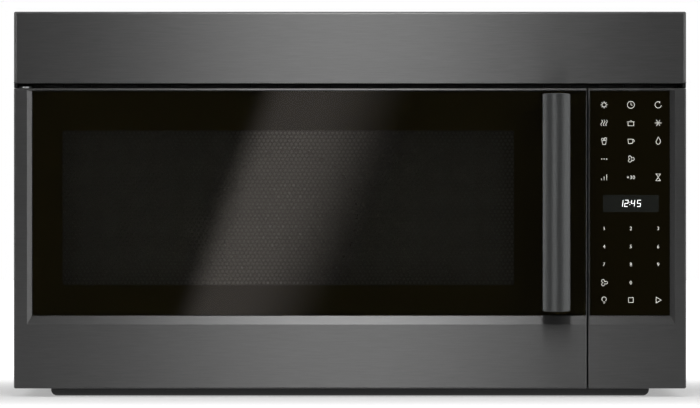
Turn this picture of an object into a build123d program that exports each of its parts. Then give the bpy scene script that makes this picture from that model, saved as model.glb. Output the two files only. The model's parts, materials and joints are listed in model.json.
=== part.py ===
"""Over the range microwave oven with convection, hood fan and charcoal filtering.

Frame: +X to the right as the cook sees it, the front faces -Y, +Z up. Millimetres.
The origin is under the middle of the whole oven, on the face it stands on.
"""

from build123d import *
import math
import os

# ---------------------------------------------------------------- whole oven
overall_width = 760.4
handle_projection = 42.0
door_thickness = 37.0
door_running_gap = 1.0
cabinet_depth = 374.0
wall_plate_depth = 4.0
pan_drop = 9.2
door_height = 339.5
vent_gap = 5.8
vent_panel_height = 81.0
control_width = 111.0
split_gap = 1.2
sheet = 1.0
fit = 0.3
running = 0.05

# ---------------------------------------------------------------- front skins
skirt_depth = 22.0
skirt_wall = 1.2
face_plate = 4.5
glass_recess = 3.0
side_band = 14.8
side_bevel = 5.4
bottom_band = 72.4
bottom_bevel = 9.7
top_strip = 2.2
control_strip = 1.6
control_band = 12.4
edge_round = 1.4
corner_round = 2.0
vent_top_round = 3.0
glass_gap = 0.9
door_glass_thickness = 3.0
control_glass_thickness = 3.0

# ---------------------------------------------------------------- door
liner_lip = 3.0
liner_wall = 2.5
liner_wall_to_choke = 0.5
window_left_margin = 54.6
window_right_margin = 82.3
window_low_margin = 116.8
window_top_margin = 47.6
window_view = 8.0
choke_overlap = 14.0
choke_depth = 20.0
choke_channel = 14.0
screen_depth = 5.0
screen_thickness = 0.6
screen_margin = 6.0
inner_pane_thickness = 2.0
choke_cover_thickness = 1.6
hinge_from_side = 11.8
hinge_from_back = 16.0
hinge_pin_radius = 3.0
hinge_pin_depth = 12.0
hinge_strap_width = 14.0
hinge_strap_thickness = 1.5
hinge_tab = 16.0
liner_chamfer = 6.0
liner_boss_wall = 4.0
latch_bar_width = 8.0
latch_bar_depth = 10.0
latch_bar_overrun = 12.0
latch_from_cavity = 60.0
hook_width = 5.0
hook_height = 10.0
hook_reach = 16.0
hook_tip_length = 8.0
hook_tip_drop = 4.0

# ---------------------------------------------------------------- handle
handle_width = 31.8
handle_thickness = 12.0
handle_crown = 3.0
handle_end_bow = 0.8
handle_corner_round = 1.8
handle_rim = 1.1
handle_from_edge = 35.6
handle_low_gap = 5.2
handle_top_gap = 3.7
post_width = 16.0
post_height = 22.0
post_inset = 26.0
post_round = 4.0
handle_screw_radius = 2.4
handle_screw_bite = 8.0

# ---------------------------------------------------------------- cabinet
cabinet_inset = 2.2
top_step = 1.0
wrap_rise = 0.6
dish_side_margin = 40.4
dish_front_margin = 4.0
dish_back_margin = 22.0
dish_round = 7.0
plenum_height = 42.0
exhaust_width = 260.0
exhaust_length = 80.0
exhaust_back_margin = 30.0
rear_exhaust_height = 70.0
rear_exhaust_drop = 16.0
ceiling_bolt_spacing = 508.0
ceiling_bolt_from_front = 40.0
ceiling_bolt_radius = 2.6
ceiling_nut_radius = 6.5
ceiling_collar_radius = 4.6
ceiling_nut_height = 7.0
wall_bolt_spacing_x = 406.4
wall_bolt_spacing_z = 180.0
wall_bolt_radius = 3.3
wall_plate_margin = 10.0
wall_plate_bottom = 60.0
wall_hook_width = 40.0
wall_hook_height = 12.0
wall_hook_x = 220.0
cord_bush_from_side = 80.2
cord_bush_from_back = 40.0
cord_bush_bore = 5.5
cord_bush_radius = 11.0
rear_flange = 18.0
screw_radius = 1.7
screw_from_back = 11.0
screw_first = 90.0
screw_pitch = 130.0
screw_rows = 3

# ---------------------------------------------------------------- oven cavity
cavity_left_margin = 34.2
cavity_right_margin = 66.0
cavity_floor_rise = 26.0
cavity_top_margin = 21.9
cavity_back_space = 56.0
mouth_round = 6.0
vent_window_width = 560.0
vent_window_low = 4.0
vent_window_high = 9.5
latch_slot_width = 9.0
latch_slot_height = 26.0
bay_port_side = 24.0
bay_port_low = 60.0
bay_port_top = 30.0
cavity_lamp_forward = 60.0
cavity_lamp_drop = 40.0
cavity_lamp_hole = 12.0

# ---------------------------------------------------------------- turntable
tray_wall_gap = 9.0
tray_thickness = 5.0
tray_rim = 9.0
tray_rim_width = 6.0
roller_radius = 7.0
roller_thickness = 6.0
roller_count = 3
roller_inset = 43.0
roller_axle_radius = 2.0
ring_inset = 12.0
ring_width = 8.0
ring_thickness = 4.0
coupler_radius = 17.0
coupler_height = 5.0
wing_width = 7.0
stem_radius = 3.5
turntable_motor_radius = 25.0
turntable_motor_height = 16.0

# ---------------------------------------------------------------- convection
convection_box = 190.0
convection_depth = 26.0
convection_fan_radius = 62.0
convection_blades = 12
heater_radius = 78.0
heater_tube = 3.25
heater_tail_offset = 20.0
convection_motor_radius = 30.0
back_hole_radius = 3.0
shaft_radius = 3.0

# ---------------------------------------------------------------- hood blower
blower_wheel_radius = 40.0
blower_wheel_length = 84.0
blower_blades = 24
blower_motor_radius = 36.0
blower_motor_length = 72.0
scroll_clearance = 6.0
blower_from_back = 75.0
blower_shaft_radius = 4.0

# ---------------------------------------------------------------- component bay
fan_radius = 54.0
fan_blades = 5
fan_hub_radius = 14.0
fan_depth = 12.0
fan_from_back = 34.0
waveguide_depth = 30.0
waveguide_length = 80.0
waveguide_height = 120.0
magnetron_length = 92.0
magnetron_width = 90.0
magnetron_height = 84.0
magnetron_fins = 9
transformer_length = 100.0
transformer_width = 84.0
transformer_height = 78.0
capacitor_length = 92.0
capacitor_width = 50.0
capacitor_height = 32.0

# ---------------------------------------------------------------- filters, lamps
filter_width = 280.0
filter_length = 180.0
filter_thickness = 8.0
filter_rim = 7.0
filter_mesh = 1.2
filter_clearance = 1.0
filter_spacing = 320.0
filter_back_margin = 24.0
lamp_width = 110.0
lamp_length = 52.0
lamp_spacing = 420.0
charcoal_side_margin = 10.0
charcoal_margin = 3.0
charcoal_thickness = 18.0
charcoal_lip = 2.0
charcoal_columns = 27
charcoal_rows = 3
charcoal_wall = 1.0
charcoal_cell_depth = 5.0
grille_depth = 15.0
grille_slat = 0.9
grille_slats = 24
grille_strap_gap = 6.0
grille_end = 8.0
grille_cap_width = 3.6
grille_cap_depth = 34.0

# ---------------------------------------------------------------- boards, switches
board_thickness = 1.6
switch_width = 10.5
switch_depth = 26.0
switch_height = 16.0
switch_offset = 12.0
switch_rise = 9.0
latch_board_thickness = 3.0
latch_board_width = 32.0
latch_board_overrun = 30.0
latch_cheek_offset = 8.0
latch_cheek_depth = 40.0
latch_ledge_depth = 6.0
latch_ledge_height = 7.0
plunger_length = 10.0
plunger_half = 3.0
plunger_rail = 4.0
noise_board_width = 80.0
noise_board_height = 50.0
noise_board_rise = 14.0
noise_board_offset = 46.0
noise_board_stand = 10.0
noise_choke_radius = 13.0
noise_choke_height = 14.0
fuse_width = 6.0
fuse_length = 30.0
fuse_height = 8.0
foot_radius = 3.0
board_corner = 5.0
fan_motor_core = 52.0
fan_motor_gap = 6.0
fan_motor_strap = 18.0
fan_motor_strap_thickness = 1.5
fan_motor_foot = 6.0
display_left_margin = 17.0
display_right_margin = 31.0
display_rise = 199.5
display_height = 19.4
touch_board_half = 36.0
touch_board_margin = 12.0

# ---------------------------------------------------------------- worked out
overall_depth = (handle_projection + door_thickness + door_running_gap
                 + cabinet_depth + wall_plate_depth)
overall_height = pan_drop + door_height + vent_gap + vent_panel_height
half_width = overall_width / 2
back_y = overall_depth / 2
handle_front_y = -back_y
face_y = handle_front_y + handle_projection
door_back_y = face_y + door_thickness
cabinet_front_y = door_back_y + door_running_gap
cabinet_back_y = back_y - wall_plate_depth
glass_y = face_y + glass_recess
door_left = -half_width
control_left = half_width - control_width
door_right = control_left - split_gap
door_bottom = pan_drop
door_top = door_bottom + door_height
vent_bottom = door_top + vent_gap
top_z = overall_height
aperture_left = door_left + side_band + side_bevel
aperture_bottom = door_bottom + bottom_band + bottom_bevel
aperture_top = door_top - top_strip
window_x = (door_left + window_left_margin, door_right - window_right_margin)
window_z = (door_bottom + window_low_margin, door_top - window_top_margin)

cabinet_half = half_width - cabinet_inset
cabinet_top = top_z - top_step
wrap_bottom = pan_drop + wrap_rise
inner_half = cabinet_half - sheet
inner_top = cabinet_top - sheet
inner_back = cabinet_back_y - sheet
plate_back_y = cabinet_front_y + sheet
plenum_top = wrap_bottom + plenum_height
cavity_floor = plenum_top + sheet + cavity_floor_rise
cavity_left = door_left + cavity_left_margin
cavity_right = door_right - cavity_right_margin
cavity_top = door_top - cavity_top_margin
cavity_back = cabinet_back_y - cavity_back_space
cavity_x = (cavity_left + cavity_right) / 2
cavity_y = (cabinet_front_y + cavity_back) / 2
cavity_z = (cavity_floor + cavity_top) / 2
bay_left = cavity_right + sheet
bay_x = (bay_left + inner_half) / 2
cord_bush_x = half_width - cord_bush_from_side
vent_window_z = (vent_bottom + vent_window_low, top_z - vent_window_high)
tray_radius = (cavity_back - cabinet_front_y) / 2 - tray_wall_gap
roller_track_radius = tray_radius - roller_inset
ring_radius = roller_track_radius - ring_inset

hinge_x = door_left + hinge_from_side
hinge_y = door_back_y - hinge_from_back
handle_x = door_right - handle_from_edge
handle_z = (aperture_bottom + handle_low_gap, aperture_top - handle_top_gap)
handle_back_y = handle_front_y + handle_thickness
post_z = (handle_z[0] + post_inset, handle_z[1] - post_inset)
choke_x = (cavity_left - choke_overlap, cavity_right + choke_overlap)
choke_z = (cavity_floor - choke_overlap, cavity_top + choke_overlap)
choke_back_y = door_back_y - choke_cover_thickness
choke_front_y = choke_back_y - choke_depth
latch_x = (choke_x[1] + door_right) / 2
latch_z = (cavity_floor + latch_from_cavity, cavity_top - latch_from_cavity)


# ---------------------------------------------------------------- small helpers
def block(xs, ys, zs):
    """A box between two corners given as pairs."""
    size = (xs[1] - xs[0], ys[1] - ys[0], zs[1] - zs[0])
    middle = ((xs[0] + xs[1]) / 2, (ys[0] + ys[1]) / 2, (zs[0] + zs[1]) / 2)
    return Pos(*middle) * Box(*size)


def grown(pair, by):
    """The pair pushed outwards by the same amount at both ends."""
    return (pair[0] - by, pair[1] + by)


def rod_x(xs, y, z, radius):
    """A round bar along X."""
    place = Pos((xs[0] + xs[1]) / 2, y, z) * Rot(0, 90, 0)
    return place * Cylinder(radius, xs[1] - xs[0])


def rod_y(x, ys, z, radius):
    """A round bar along Y."""
    place = Pos(x, (ys[0] + ys[1]) / 2, z) * Rot(90, 0, 0)
    return place * Cylinder(radius, ys[1] - ys[0])


def rod_z(x, y, zs, radius):
    """A round bar along Z."""
    return Pos(x, y, (zs[0] + zs[1]) / 2) * Cylinder(radius, zs[1] - zs[0])


def face_outline(xs, zs, y):
    """A rectangle standing upright at depth y, facing the cook."""
    plane = Plane(origin=(0, y, 0), x_dir=(1, 0, 0), z_dir=(0, -1, 0))
    middle = ((xs[0] + xs[1]) / 2, (zs[0] + zs[1]) / 2)
    return plane * Pos(*middle) * Rectangle(xs[1] - xs[0], zs[1] - zs[0])


def rounded_block(xs, ys, zs, radius, axis):
    """A box whose four edges along one axis are rounded."""
    solid = block(xs, ys, zs)
    return fillet(solid.edges().filter_by(axis), radius)


def together(shapes):
    """One solid from many that touch."""
    first = shapes[0]
    return first.fuse(*shapes[1:]) if len(shapes) > 1 else first


def screw(x, y, z, axis, radius, length, head_radius, head_height):
    """A pan head screw; axis is the way that the tip points."""
    direction = Vector(*axis)
    plane = Plane(origin=(x, y, z), z_dir=direction)
    shank = plane * Pos(0, 0, length / 2) * Cylinder(radius, length)
    head = plane * Pos(0, 0, -head_height / 2) * Cylinder(head_radius, head_height)
    return shank + head


def save(name, *shapes):
    """Writes one node from one or more solids."""
    solids = [solid for shape in shapes for solid in shape.solids()]
    whole = solids[0] if len(solids) == 1 else Compound(solids)
    export_step(whole, os.path.join("parts", name + ".step"))
    print(name, len(solids), round(sum(solid.volume for solid in solids)))


# ---------------------------------------------------------------- front skins
def front_skin(xs, zs, aperture, foot, rounds):
    """A folded steel front: a face with a bevelled opening down to the glass, and a skirt."""
    skin = block(xs, (face_y, face_y + skirt_depth), zs)
    upright = skin.edges().filter_by(Axis.Y).filter_by(rounds)
    skin = fillet(upright, corner_round)
    skin = fillet(skin.faces().sort_by(Axis.Y)[0].edges(), edge_round)
    hollow = block(grown(xs, -skirt_wall), (face_y + face_plate, face_y + skirt_depth),
                   grown(zs, -skirt_wall))
    bevel = loft([face_outline(aperture[0], aperture[1], face_y),
                  face_outline(foot[0], foot[1], glass_y)], ruled=True)
    through = block(foot[0], (glass_y, face_y + skirt_depth), foot[1])
    return skin - hollow - bevel - through


def door_frame():
    """The brushed steel frame round the door glass."""
    xs = (door_left, door_right)
    zs = (door_bottom, door_top)
    right = door_right - skirt_wall
    aperture = ((door_left + side_band, right), (door_bottom + bottom_band, aperture_top))
    foot = ((aperture_left, right), (aperture_bottom, aperture_top))
    frame = front_skin(xs, zs, aperture, foot, lambda edge: edge.center().Z < door_top - 1)
    relief = hinge_strap_thickness + 2 * fit
    reach = (door_left, hinge_x + hinge_strap_width)
    depth = (face_y + face_plate, face_y + skirt_depth)
    frame = frame - block(reach, depth, (door_bottom, door_bottom + relief))
    glass_back = glass_y + door_glass_thickness + fit
    frame = frame - block((right, door_right), (face_y, glass_back), foot[1])
    pin_hole = rod_z(hinge_x, hinge_y, (door_top - 2 * skirt_wall, door_top),
                     hinge_pin_radius + 1.5)
    slot = block((hinge_x - hinge_pin_radius - 1.5, hinge_x + hinge_pin_radius + 1.5),
                 (hinge_y, face_y + skirt_depth), (door_top - 2 * skirt_wall, door_top))
    return frame - pin_hole - slot


def control_frame():
    """The brushed steel frame round the control glass."""
    xs = (control_left, half_width)
    zs = (door_bottom, door_top)
    left = control_left + control_strip
    aperture = ((left, half_width - control_band), (door_bottom + bottom_band, aperture_top))
    foot = ((left, half_width - control_band - side_bevel), (aperture_bottom, aperture_top))
    return front_skin(xs, zs, aperture, foot, lambda edge: edge.center().Z < door_top - 1)


def vent_panel():
    """The brushed steel panel over the door, open underneath where the air leaves."""
    xs = (door_left, half_width)
    zs = (vent_bottom, top_z)
    ys = (face_y, cabinet_front_y)
    skin = block(xs, ys, zs)
    upper = skin.edges().filter_by(Axis.Y).filter_by(lambda edge: edge.center().Z > vent_bottom + 1)
    skin = fillet(upper, corner_round)
    front = skin.faces().sort_by(Axis.Y)[0].edges()
    top_edge = front.sort_by(Axis.Z)[-1:]
    skin = fillet(top_edge, vent_top_round)
    hollow = block(grown(xs, -skirt_wall), (face_y + skirt_wall, cabinet_front_y),
                   (vent_bottom, top_z - skirt_wall))
    sill = block(xs, (face_y, face_y + face_plate), (vent_bottom, vent_bottom + skirt_wall))
    return (skin - hollow) + sill


# ---------------------------------------------------------------- door inside
def liner_corner(xs, ys, zs):
    """A block whose back left edge is cut off, so that it swings clear of the cabinet."""
    solid = block(xs, ys, zs)
    edge = solid.edges().filter_by(Axis.Z).sort_by(Axis.X)[:2].sort_by(Axis.Y)[-1:]
    return chamfer(edge, liner_chamfer)


def door_liner():
    """The black moulding that the glass is bonded to and the choke sits in."""
    xs = grown((door_left, door_right), -(skirt_wall + fit))
    lowest = door_bottom + hinge_strap_thickness + 3 * fit
    zs = (max(lowest, door_bottom + skirt_wall + fit), door_top - skirt_wall - fit)
    front = glass_y + door_glass_thickness
    body = liner_corner(xs, (front, door_back_y), zs)
    seat = liner_wall_to_choke
    back_pocket = block(grown(choke_x, seat), (front + liner_lip, door_back_y),
                        grown(choke_z, seat))
    view = block(grown(window_x, window_view), (front, door_back_y), grown(window_z, window_view))
    hollow = block(grown(xs, -liner_wall), (front, door_back_y - liner_wall),
                   grown(zs, -liner_wall))
    keep = block(grown(choke_x, seat + liner_wall), (front, door_back_y),
                 grown(choke_z, seat + liner_wall))
    body = (body - (hollow - keep)) - back_pocket - view
    boss = hinge_pin_depth + liner_boss_wall
    for span in ((zs[0], zs[0] + boss), (zs[1] - boss, zs[1])):
        body = body + rod_z(hinge_x, hinge_y, span, hinge_pin_radius + liner_boss_wall)
    top_hole = rod_z(hinge_x, hinge_y, (zs[1] - hinge_pin_depth - 1, zs[1]),
                     hinge_pin_radius + running)
    low_hole = rod_z(hinge_x, hinge_y, (zs[0], zs[0] + hinge_pin_depth + 1),
                     hinge_pin_radius + running)
    body = body - top_hole - low_hole
    for z in latch_z:
        body = body - block(grown((latch_x, latch_x), latch_bar_width / 2),
                            (door_back_y - liner_wall, door_back_y),
                            grown((z, z), latch_bar_overrun))
    for z in post_z:
        body = body - rod_y(handle_x, (front, front + liner_lip + 1), z, 3 * handle_screw_radius)
    return body


def door_glass():
    """The toughened black glass of the door, out to its right edge and drilled for the handle."""
    xs = (aperture_left + glass_gap, door_right - glass_gap)
    zs = (aperture_bottom + glass_gap, aperture_top - glass_gap)
    pane = block(xs, (glass_y, glass_y + door_glass_thickness), zs)
    for z in post_z:
        pane = pane - rod_y(handle_x, (glass_y, glass_y + door_glass_thickness), z,
                            handle_screw_radius + 1)
    return pane


def door_choke():
    """The steel pan with the quarter wave channel round its edge and the window in its middle."""
    ys = (choke_front_y, choke_back_y)
    floor_y = choke_front_y + sheet
    pan = block(choke_x, ys, choke_z) - block(grown(choke_x, -sheet), (floor_y, ys[1]),
                                              grown(choke_z, -sheet))
    middle_y = choke_back_y - screen_depth
    raised = block(grown(choke_x, -choke_channel), (choke_front_y, middle_y),
                   grown(choke_z, -choke_channel))
    inner = block(grown(choke_x, -choke_channel - sheet), (choke_front_y, middle_y - sheet),
                  grown(choke_z, -choke_channel - sheet))
    window = rounded_block(window_x, ys, window_z, screen_margin, Axis.Y)
    return (pan + raised) - inner - window


def window_screen():
    """The fine perforated screen behind the window, drawn as its plain sheet."""
    y = choke_back_y - screen_depth - sheet
    return block(grown(window_x, screen_margin), (y - screen_thickness, y),
                 grown(window_z, screen_margin))


def choke_cover():
    """The black plastic ring that closes the choke channel."""
    ys = (choke_back_y, door_back_y)
    ring = block(choke_x, ys, choke_z)
    hole = block(grown(choke_x, -choke_channel), ys, grown(choke_z, -choke_channel))
    return ring - hole


def door_inner_window():
    """The clear pane on the oven side of the screen."""
    y = choke_back_y - screen_depth
    reach = choke_channel + 1
    return block(grown(choke_x, -reach), (y, y + inner_pane_thickness), grown(choke_z, -reach))


def latch_hooks():
    """Both hooks on their common bar, which lifts a little as the door is pulled."""
    back = door_back_y - liner_wall - fit
    bar = block(grown((latch_x, latch_x), latch_bar_width / 2), (back - latch_bar_depth, back),
                grown(latch_z, latch_bar_overrun))
    hooks = [bar]
    hook_x = grown((latch_x, latch_x), hook_width / 2)
    end = door_back_y + hook_reach
    half = hook_height / 2
    for z in latch_z:
        arm = block(hook_x, (back - half, end), (z - half, z + half))
        tip = block(hook_x, (end - hook_tip_length, end), (z - half - hook_tip_drop, z + half))
        hooks = hooks + [arm, tip]
    return together(hooks)


# ---------------------------------------------------------------- hinge
def strap_heights():
    """The heights of the top and bottom hinge straps, clear of the door."""
    top = door_top + 2 * fit
    low = door_bottom + fit
    return ((top, top + hinge_strap_thickness), (low, low + hinge_strap_thickness))


def hinge_brackets():
    """The two straps that carry the hinge pins, each bent up or down behind the front plate."""
    half = hinge_strap_width / 2
    straps = []
    for zs, down in zip(strap_heights(), (-1, 1)):
        strap = block((hinge_x - half, hinge_x + half), (hinge_y, plate_back_y + sheet), zs)
        nose = rod_z(hinge_x, hinge_y, zs, half)
        edge = zs[0] if down > 0 else zs[1]
        tab_z = (edge, edge + hinge_tab) if down > 0 else (edge - hinge_tab, edge)
        flange = block((hinge_x - half, hinge_x + half), (plate_back_y, plate_back_y + sheet), tab_z)
        eye = rod_z(hinge_x, hinge_y, zs, hinge_pin_radius)
        straps.append(strap + nose + flange - eye)
    return straps


def hinge_pins():
    """The pins that stand down and up from the straps into the door."""
    top, low = strap_heights()
    upper = rod_z(hinge_x, hinge_y, (door_top - hinge_pin_depth, top[1]), hinge_pin_radius)
    lower = rod_z(hinge_x, hinge_y, (low[0], door_bottom + hinge_pin_depth), hinge_pin_radius)
    return [upper, lower]


# ---------------------------------------------------------------- handle
def handle_front():
    """The handle's outline as the cook sees it, its ends bowed outwards, as a solid along Y."""
    half = handle_width / 2
    low, high = handle_z
    middle = handle_x
    left = middle - half
    right = middle + half
    outline = BuildLine()
    with outline:
        Line((left, low + handle_end_bow), (left, high - handle_end_bow))
        ThreePointArc((left, high - handle_end_bow), (middle, high), (right, high - handle_end_bow))
        Line((right, high - handle_end_bow), (right, low + handle_end_bow))
        ThreePointArc((right, low + handle_end_bow), (middle, low), (left, low + handle_end_bow))
    face = make_face(outline.line.edges())
    face = fillet(face.vertices(), handle_corner_round)
    plane = Plane(origin=(0, handle_back_y, 0), x_dir=(1, 0, 0), z_dir=(0, -1, 0))
    return extrude(plane * face, handle_thickness)


def door_handle():
    """The upright bar handle, crowned across its front, with bowed ends and a rounded rim."""
    half = handle_width / 2
    radius = (half ** 2 + handle_crown ** 2) / (2 * handle_crown)
    crown = rod_z(handle_x, handle_front_y + radius, grown(handle_z, 1), radius)
    bar = handle_front() & crown
    front = bar.faces().sort_by(Axis.Y)[0]
    return fillet(front.edges(), handle_rim)


def handle_posts():
    """The two cast feet between the bar and the glass."""
    posts = []
    for z in post_z:
        foot = rounded_block((handle_x - post_width / 2, handle_x + post_width / 2),
                             (handle_back_y, glass_y), (z - post_height / 2, z + post_height / 2),
                             post_round, Axis.Y)
        bore = rod_y(handle_x, (handle_back_y + handle_screw_bite, glass_y), z,
                     handle_screw_radius)
        posts.append(foot - bore)
    return posts


def handle_screws():
    """The screws that hold the feet from inside the door."""
    tip = handle_back_y + handle_screw_bite + 1
    head_y = glass_y + door_glass_thickness
    return [screw(handle_x, head_y, z, (0, -1, 0), handle_screw_radius, head_y - tip, 4.5, 2.5)
            for z in post_z]


# ---------------------------------------------------------------- cabinet
cord_y = cabinet_back_y - cord_bush_from_back
screw_y = cabinet_back_y - screw_from_back


def screw_places():
    """The side (-1 or 1) and height of each screw along the back edges."""
    return [(side, wrap_bottom + screw_first + level * screw_pitch)
            for side in (-1, 1) for level in range(screw_rows)]


def exhaust_y():
    """Where the top exhaust opening lies, front to back."""
    back = cabinet_back_y - exhaust_back_margin
    return (back - exhaust_length, back)


def cabinet_wrap():
    """The steel top and sides, as the flat panels between the folds, and the two ceiling nuts."""
    ys = (cabinet_front_y, cabinet_back_y)
    body = block((-cabinet_half, cabinet_half), ys, (wrap_bottom, cabinet_top))
    edges = body.edges().filter_by(Axis.Y).sort_by(Axis.Z)[-2:]
    body = fillet(edges, corner_round)
    body = body - block((-inner_half, inner_half), ys, (wrap_bottom, inner_top))
    half_exhaust = exhaust_width / 2
    body = body - block((-half_exhaust, half_exhaust), exhaust_y(), (inner_top, cabinet_top))
    body = body - rod_z(cord_bush_x, cord_y, (inner_top, cabinet_top), cord_bush_radius)
    y = cabinet_front_y + ceiling_bolt_from_front
    nuts = []
    for side in (-1, 1):
        x = side * ceiling_bolt_spacing / 2
        nut_z = (cabinet_top - ceiling_nut_height, cabinet_top)
        body = body - rod_z(x, y, (inner_top, cabinet_top), ceiling_collar_radius)
        nut = rod_z(x, y, (nut_z[0], inner_top), ceiling_nut_radius)
        nut = nut + rod_z(x, y, (inner_top, cabinet_top), ceiling_collar_radius)
        nuts.append(nut - rod_z(x, y, nut_z, ceiling_bolt_radius))
    for side, z in screw_places():
        body = body - rod_x(grown((side * cabinet_half, side * cabinet_half), 3), screw_y, z,
                            screw_radius + running)
    front, back = exhaust_y()
    behind = (front, cabinet_back_y)
    whole = (wrap_bottom, cabinet_top)
    panels = [block((-cabinet_half, -inner_half), ys, whole),
              block((inner_half, cabinet_half), ys, whole),
              block((-inner_half, inner_half), (cabinet_front_y, front), whole),
              block((-inner_half, -half_exhaust), behind, whole),
              block((half_exhaust, inner_half), behind, whole),
              block((-half_exhaust, half_exhaust), (back, cabinet_back_y), whole)]
    return [body & panel for panel in panels] + nuts


def hook_slots(ys):
    """The openings near the foot of the back for the wall plate's hooks."""
    low = wall_plate_bottom + 8
    return [block((side * wall_hook_x - wall_hook_width / 2 - 1,
                   side * wall_hook_x + wall_hook_width / 2 + 1), ys,
                  (low, low + wall_hook_height + 2)) for side in (-1, 1)]


def rear_exhaust(ys):
    """The opening through the back for a duct that leaves straight to the wall."""
    top = cabinet_top - rear_exhaust_drop
    return block((-exhaust_width / 2, exhaust_width / 2), ys, (top - rear_exhaust_height, top))


def rear_panel():
    """The flat back of the cabinet."""
    ys = (inner_back, cabinet_back_y)
    xs = (-inner_half + fit, inner_half - fit)
    zs = (wrap_bottom + sheet + fit, inner_top - fit)
    depth = (inner_back - rear_flange, cabinet_back_y)
    panel = block(xs, depth, zs)
    panel = panel - block(grown(xs, -sheet), (depth[0], inner_back), grown(zs, 1))
    for side, z in screw_places():
        panel = panel - rod_x(grown((side * inner_half, side * inner_half), 3), screw_y, z,
                              screw_radius + running)
    for slot in hook_slots(ys):
        panel = panel - slot
    panel = panel - rear_exhaust(ys)
    for row in range(5):
        z = cavity_floor + 30 + 14 * row
        panel = panel - block((bay_x - 40, bay_x + 40), ys, (z, z + 3))
    return panel


def wall_plate():
    """The steel plate that is bolted to the wall and carries the oven on two hooks."""
    ys = (cabinet_back_y, back_y)
    xs = (-cabinet_half + wall_plate_margin, cabinet_half - wall_plate_margin)
    zs = (wall_plate_bottom, cabinet_top - fit)
    plate = block(xs, (back_y - sheet, back_y), zs)
    rim = block(xs, ys, zs) - block(grown(xs, -sheet), ys, grown(zs, -sheet))
    plate = plate + rim - rear_exhaust(grown(ys, 1))
    middle = wall_bolt_height()
    for side in (-1, 1):
        for level in (-1, 1):
            x = side * wall_bolt_spacing_x / 2
            z = middle + level * wall_bolt_spacing_z / 2
            plate = plate - rod_y(x, grown(ys, 1), z, wall_bolt_radius)
        centre = side * wall_hook_x
        hook_x = (centre - wall_hook_width / 2, centre + wall_hook_width / 2)
        low = wall_plate_bottom + 9
        arm = block(hook_x, (inner_back - 4 - sheet, back_y), (low, low + sheet))
        lip = block(hook_x, (inner_back - 4 - sheet, inner_back - 4), (low, low + wall_hook_height))
        plate = plate + arm + lip
    return plate


def wall_bolt_height():
    """The middle height of the four wall bolts."""
    return wall_plate_bottom + 40 + wall_bolt_spacing_z / 2


def dish_y():
    """The dished part of the base, front to back."""
    return (cabinet_front_y + dish_front_margin, cabinet_back_y - dish_back_margin)


def filter_y():
    """The grease filters' openings, front to back."""
    back = dish_y()[1] - filter_back_margin
    return (back - filter_length, back)


def filter_spans():
    """The two filters, left and right."""
    half = filter_width / 2
    return [(side * filter_spacing / 2 - half, side * filter_spacing / 2 + half)
            for side in (-1, 1)]


def lamp_y():
    """The cooktop lamps' openings, front to back."""
    front = dish_y()[0] + 34
    return (front, front + lamp_length)


def lamp_spans():
    """The two cooktop lamps, left and right."""
    half = lamp_width / 2
    return [(side * lamp_spacing / 2 - half, side * lamp_spacing / 2 + half) for side in (-1, 1)]


def base_pan():
    """The pressed underside with its dish, filter openings, lamp openings and air slots."""
    ys = dish_y()
    xs = grown((-half_width, half_width), -dish_side_margin)
    outer = block(xs, ys, (0, wrap_bottom + sheet))
    outer = fillet(outer.faces().sort_by(Axis.Z)[0].edges(), dish_round)
    inner = block(grown(xs, -sheet), grown(ys, -sheet), (sheet, wrap_bottom + 2 * sheet))
    inner = fillet(inner.faces().sort_by(Axis.Z)[0].edges(), dish_round - sheet)
    rim = block((-inner_half + fit, inner_half - fit), (plate_back_y, inner_back),
                (wrap_bottom, wrap_bottom + sheet))
    lip = block(xs, (cabinet_front_y, plate_back_y), (wrap_bottom, wrap_bottom + sheet))
    pan = outer + rim + lip - inner
    strap_x = grown((hinge_x, hinge_x), hinge_strap_width / 2 + fit)
    pan = pan - block(strap_x, (cabinet_front_y, plate_back_y + sheet + fit),
                      (wrap_bottom - sheet, wrap_bottom + 2 * sheet))
    floor_z = (0, sheet)
    for span in filter_spans():
        pan = pan - block(grown(span, filter_clearance), grown(filter_y(), filter_clearance), floor_z)
    for span in lamp_spans():
        pan = pan - block(span, lamp_y(), floor_z)
    slot_y = (lamp_y()[0] + 2, lamp_y()[1] - 2)
    for number in range(15):
        x = (number - 7) * 9.0
        pan = pan - block((x - 1.5, x + 1.5), slot_y, floor_z)
    return pan


def duct_plate():
    """The plate that keeps the hood air under the oven and carries the heavy parts."""
    zs = (plenum_top, plenum_top + sheet)
    half = inner_half - fit
    flange_y = inner_back - rear_flange - fit
    plate = block((-half, half), (plate_back_y, flange_y), zs)
    tongue = block((-half + sheet + fit, half - sheet - fit), (plate_back_y, inner_back), zs)
    feet = [block(sorted((side * half, side * (half - sheet))), (plate_back_y, flange_y),
                  (wrap_bottom + sheet, zs[1])) for side in (-1, 1)]
    plate = together([plate, tongue] + feet)
    rise = block((-exhaust_width / 2, exhaust_width / 2), (cavity_back + 20, inner_back - 8), zs)
    return plate - rise


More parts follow.
